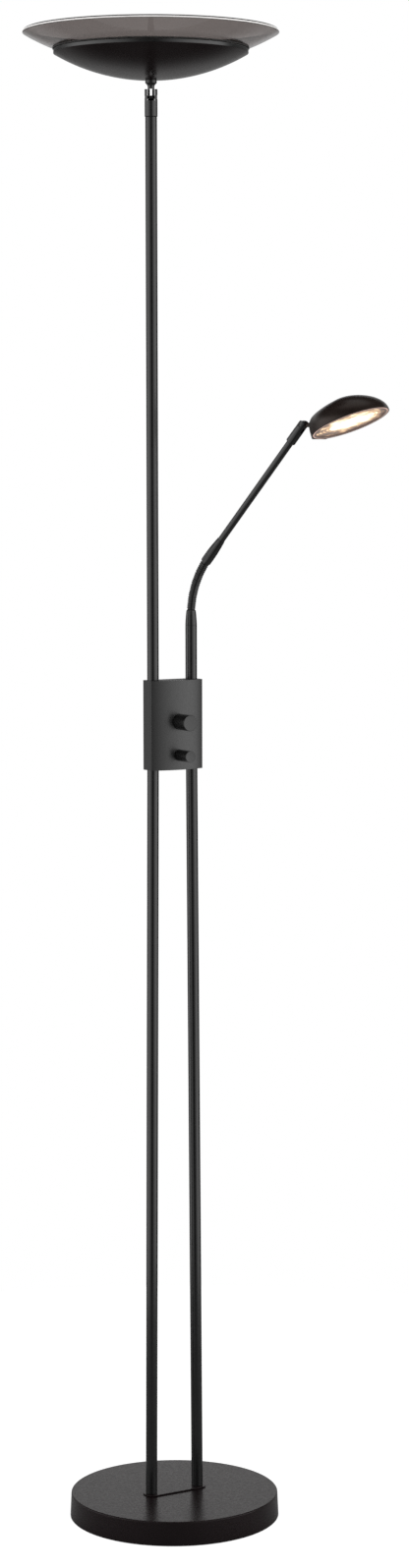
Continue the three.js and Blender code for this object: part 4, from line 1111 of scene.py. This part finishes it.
# What it finds there all round besides: sine of the elevation, share of the peak
ALL_ROUND = (
    (-0.72, 0.04), (-0.58, 0.01), (-0.44, 0.08), (-0.36, 0.08), (-0.26, 0.0), (0.14, 0.0), (0.22, 0.2),
    (0.32, 0.2), (0.42, 0.0), (0.8, 0.0), (0.93, 0.35),
)


def seen_directly(tree, path):
    """1 where the camera looks, also through glass, and 0 for every other ray."""
    return math_node(tree, "MAXIMUM", path.outputs["Is Camera Ray"], path.outputs["Is Transmission Ray"])


def make_world():
    """White where the camera or glass looks, and a plain light on the lamp. Gloss mirrors a studio
    round the lamp: a dim backdrop, black flags beside it, a tall light on each side, and the dark
    behind the camera."""
    world = bpy.data.worlds.new("studio")
    bpy.context.scene.world = world
    world.use_nodes = True
    tree = world.node_tree
    tree.nodes.clear()
    output = tree.nodes.new("ShaderNodeOutputWorld")
    background = tree.nodes.new("ShaderNodeBackground")
    tree.links.new(background.outputs["Background"], output.inputs["Surface"])
    background.inputs["Color"].default_value = (1.0, 1.0, 1.0, 1.0)
    direction = tree.nodes.new("ShaderNodeTexCoord").outputs["Generated"]
    aside = along(tree, direction, CAMERA_RIGHT)
    toward = along(tree, direction, -CAMERA_AWAY)
    heading = math_node(tree, "ARCTAN2", aside, toward)
    around = spread(tree, heading, 0.0, 1.0, -math.pi, math.pi)
    studio = ramp(tree, around, [((angle + 180.0) / 360.0, (level,) * 3) for angle, level in STUDIO])
    studio = math_node(tree, "MULTIPLY", studio, STUDIO_PEAK)
    height = along(tree, direction, Vector((0.0, 0.0, 1.0)))
    level = spread(tree, height, 0.0, 1.0, -1.0, 1.0)
    share = ramp(tree, level, [((sine + 1.0) / 2.0, (part,) * 3) for sine, part in HEIGHTS])
    extra = ramp(tree, level, [((sine + 1.0) / 2.0, (part,) * 3) for sine, part in ALL_ROUND])
    extra = math_node(tree, "MULTIPLY", extra, STUDIO_PEAK)
    gloss = math_node(tree, "ADD", math_node(tree, "MULTIPLY", studio, share), extra)
    path = tree.nodes.new("ShaderNodeLightPath")
    plain = mix(tree, path.outputs["Is Glossy Ray"], WORLD_LIGHT, gloss)
    tree.links.new(mix(tree, seen_directly(tree, path), plain, 1.0), background.inputs["Strength"])


def make_floor():
    """A round grey floor, which glows white for the camera, so that its edge can't be told from the
    backdrop. Gloss mirrors its own tone."""
    work = bmesh.new()
    bmesh.ops.create_circle(work, cap_ends=True, segments=96, radius=FLOOR_RADIUS)
    mesh = bpy.data.meshes.new("floor")
    work.to_mesh(mesh)
    work.free()
    floor = bpy.data.objects.new("floor", mesh)
    bpy.context.scene.collection.objects.link(floor)
    material = bpy.data.materials.new("floor")
    material.use_nodes = True
    tree = material.node_tree
    shader = tree.nodes["Principled BSDF"]
    shader.inputs["Roughness"].default_value = 0.9
    shader.inputs["Specular IOR Level"].default_value = 0.0
    shader.inputs["Base Color"].default_value = (FLOOR_TONE, FLOOR_TONE, FLOOR_TONE, 1.0)
    shader.inputs["Emission Color"].default_value = (1.0, 1.0, 1.0, 1.0)
    seen = seen_directly(tree, tree.nodes.new("ShaderNodeLightPath"))
    tree.links.new(math_node(tree, "MULTIPLY", seen, FLOOR_GLOW), shader.inputs["Emission Strength"])
    mesh.materials.append(material)


def area_light(name, position, target, width, height, power):
    """A white soft box, aimed at its target, that gloss does not mirror."""
    data = bpy.data.lights.new(name, "AREA")
    data.shape = "RECTANGLE"
    data.size = width
    data.size_y = height
    data.energy = power
    lamp = bpy.data.objects.new(name, data)
    bpy.context.scene.collection.objects.link(lamp)
    lamp.location = position
    direction = Vector(target) - Vector(position)
    lamp.rotation_euler = direction.to_track_quat("-Z", "Y").to_euler()
    lamp.visible_glossy = False


def make_lights():
    """Two tall soft boxes at the sides and one overhead. The world shows gloss their image."""
    for side, name in ((-1.0, "left"), (1.0, "right")):
        place = CAMERA_RIGHT * side * 2.4 - CAMERA_AWAY * 0.5 + Vector((0.0, 0.0, 1.2))
        area_light(f"softbox_{name}", place, (0.0, 0.0, 0.9), width=0.8, height=2.6, power=30.0)
    area_light("overhead", (0.0, -0.3, 3.6), (0.0, 0.0, 0.0), width=2.0, height=2.0, power=18.0)


def make_camera():
    """The photograph's camera: a long lens four metres away, a little above the lamp's middle."""
    place = Vector((-2.08384, -3.54322, 1.31122))
    pitch = math.radians(5.639)
    roll = math.radians(-0.107)
    data = bpy.data.cameras.new("camera")
    data.lens = 78.446
    data.sensor_width = 36.0
    camera = bpy.data.objects.new("camera", data)
    bpy.context.scene.collection.objects.link(camera)
    bpy.context.scene.camera = camera
    forward = CAMERA_AWAY * math.cos(pitch) - Vector((0.0, 0.0, math.sin(pitch)))
    up = CAMERA_RIGHT.cross(forward)
    right_rolled = CAMERA_RIGHT * math.cos(roll) + up * math.sin(roll)
    up_rolled = up * math.cos(roll) - CAMERA_RIGHT * math.sin(roll)
    matrix = Matrix((right_rolled, up_rolled, -forward)).transposed().to_4x4()
    matrix.translation = place
    camera.matrix_world = matrix


make_camera()
make_base()
make_poles()
make_box()
make_uplight()
make_ferrule()
make_gooseneck()
make_arm()
make_head()
make_world()
make_floor()
make_lights()
bpy.context.scene.view_settings.view_transform = "Standard"
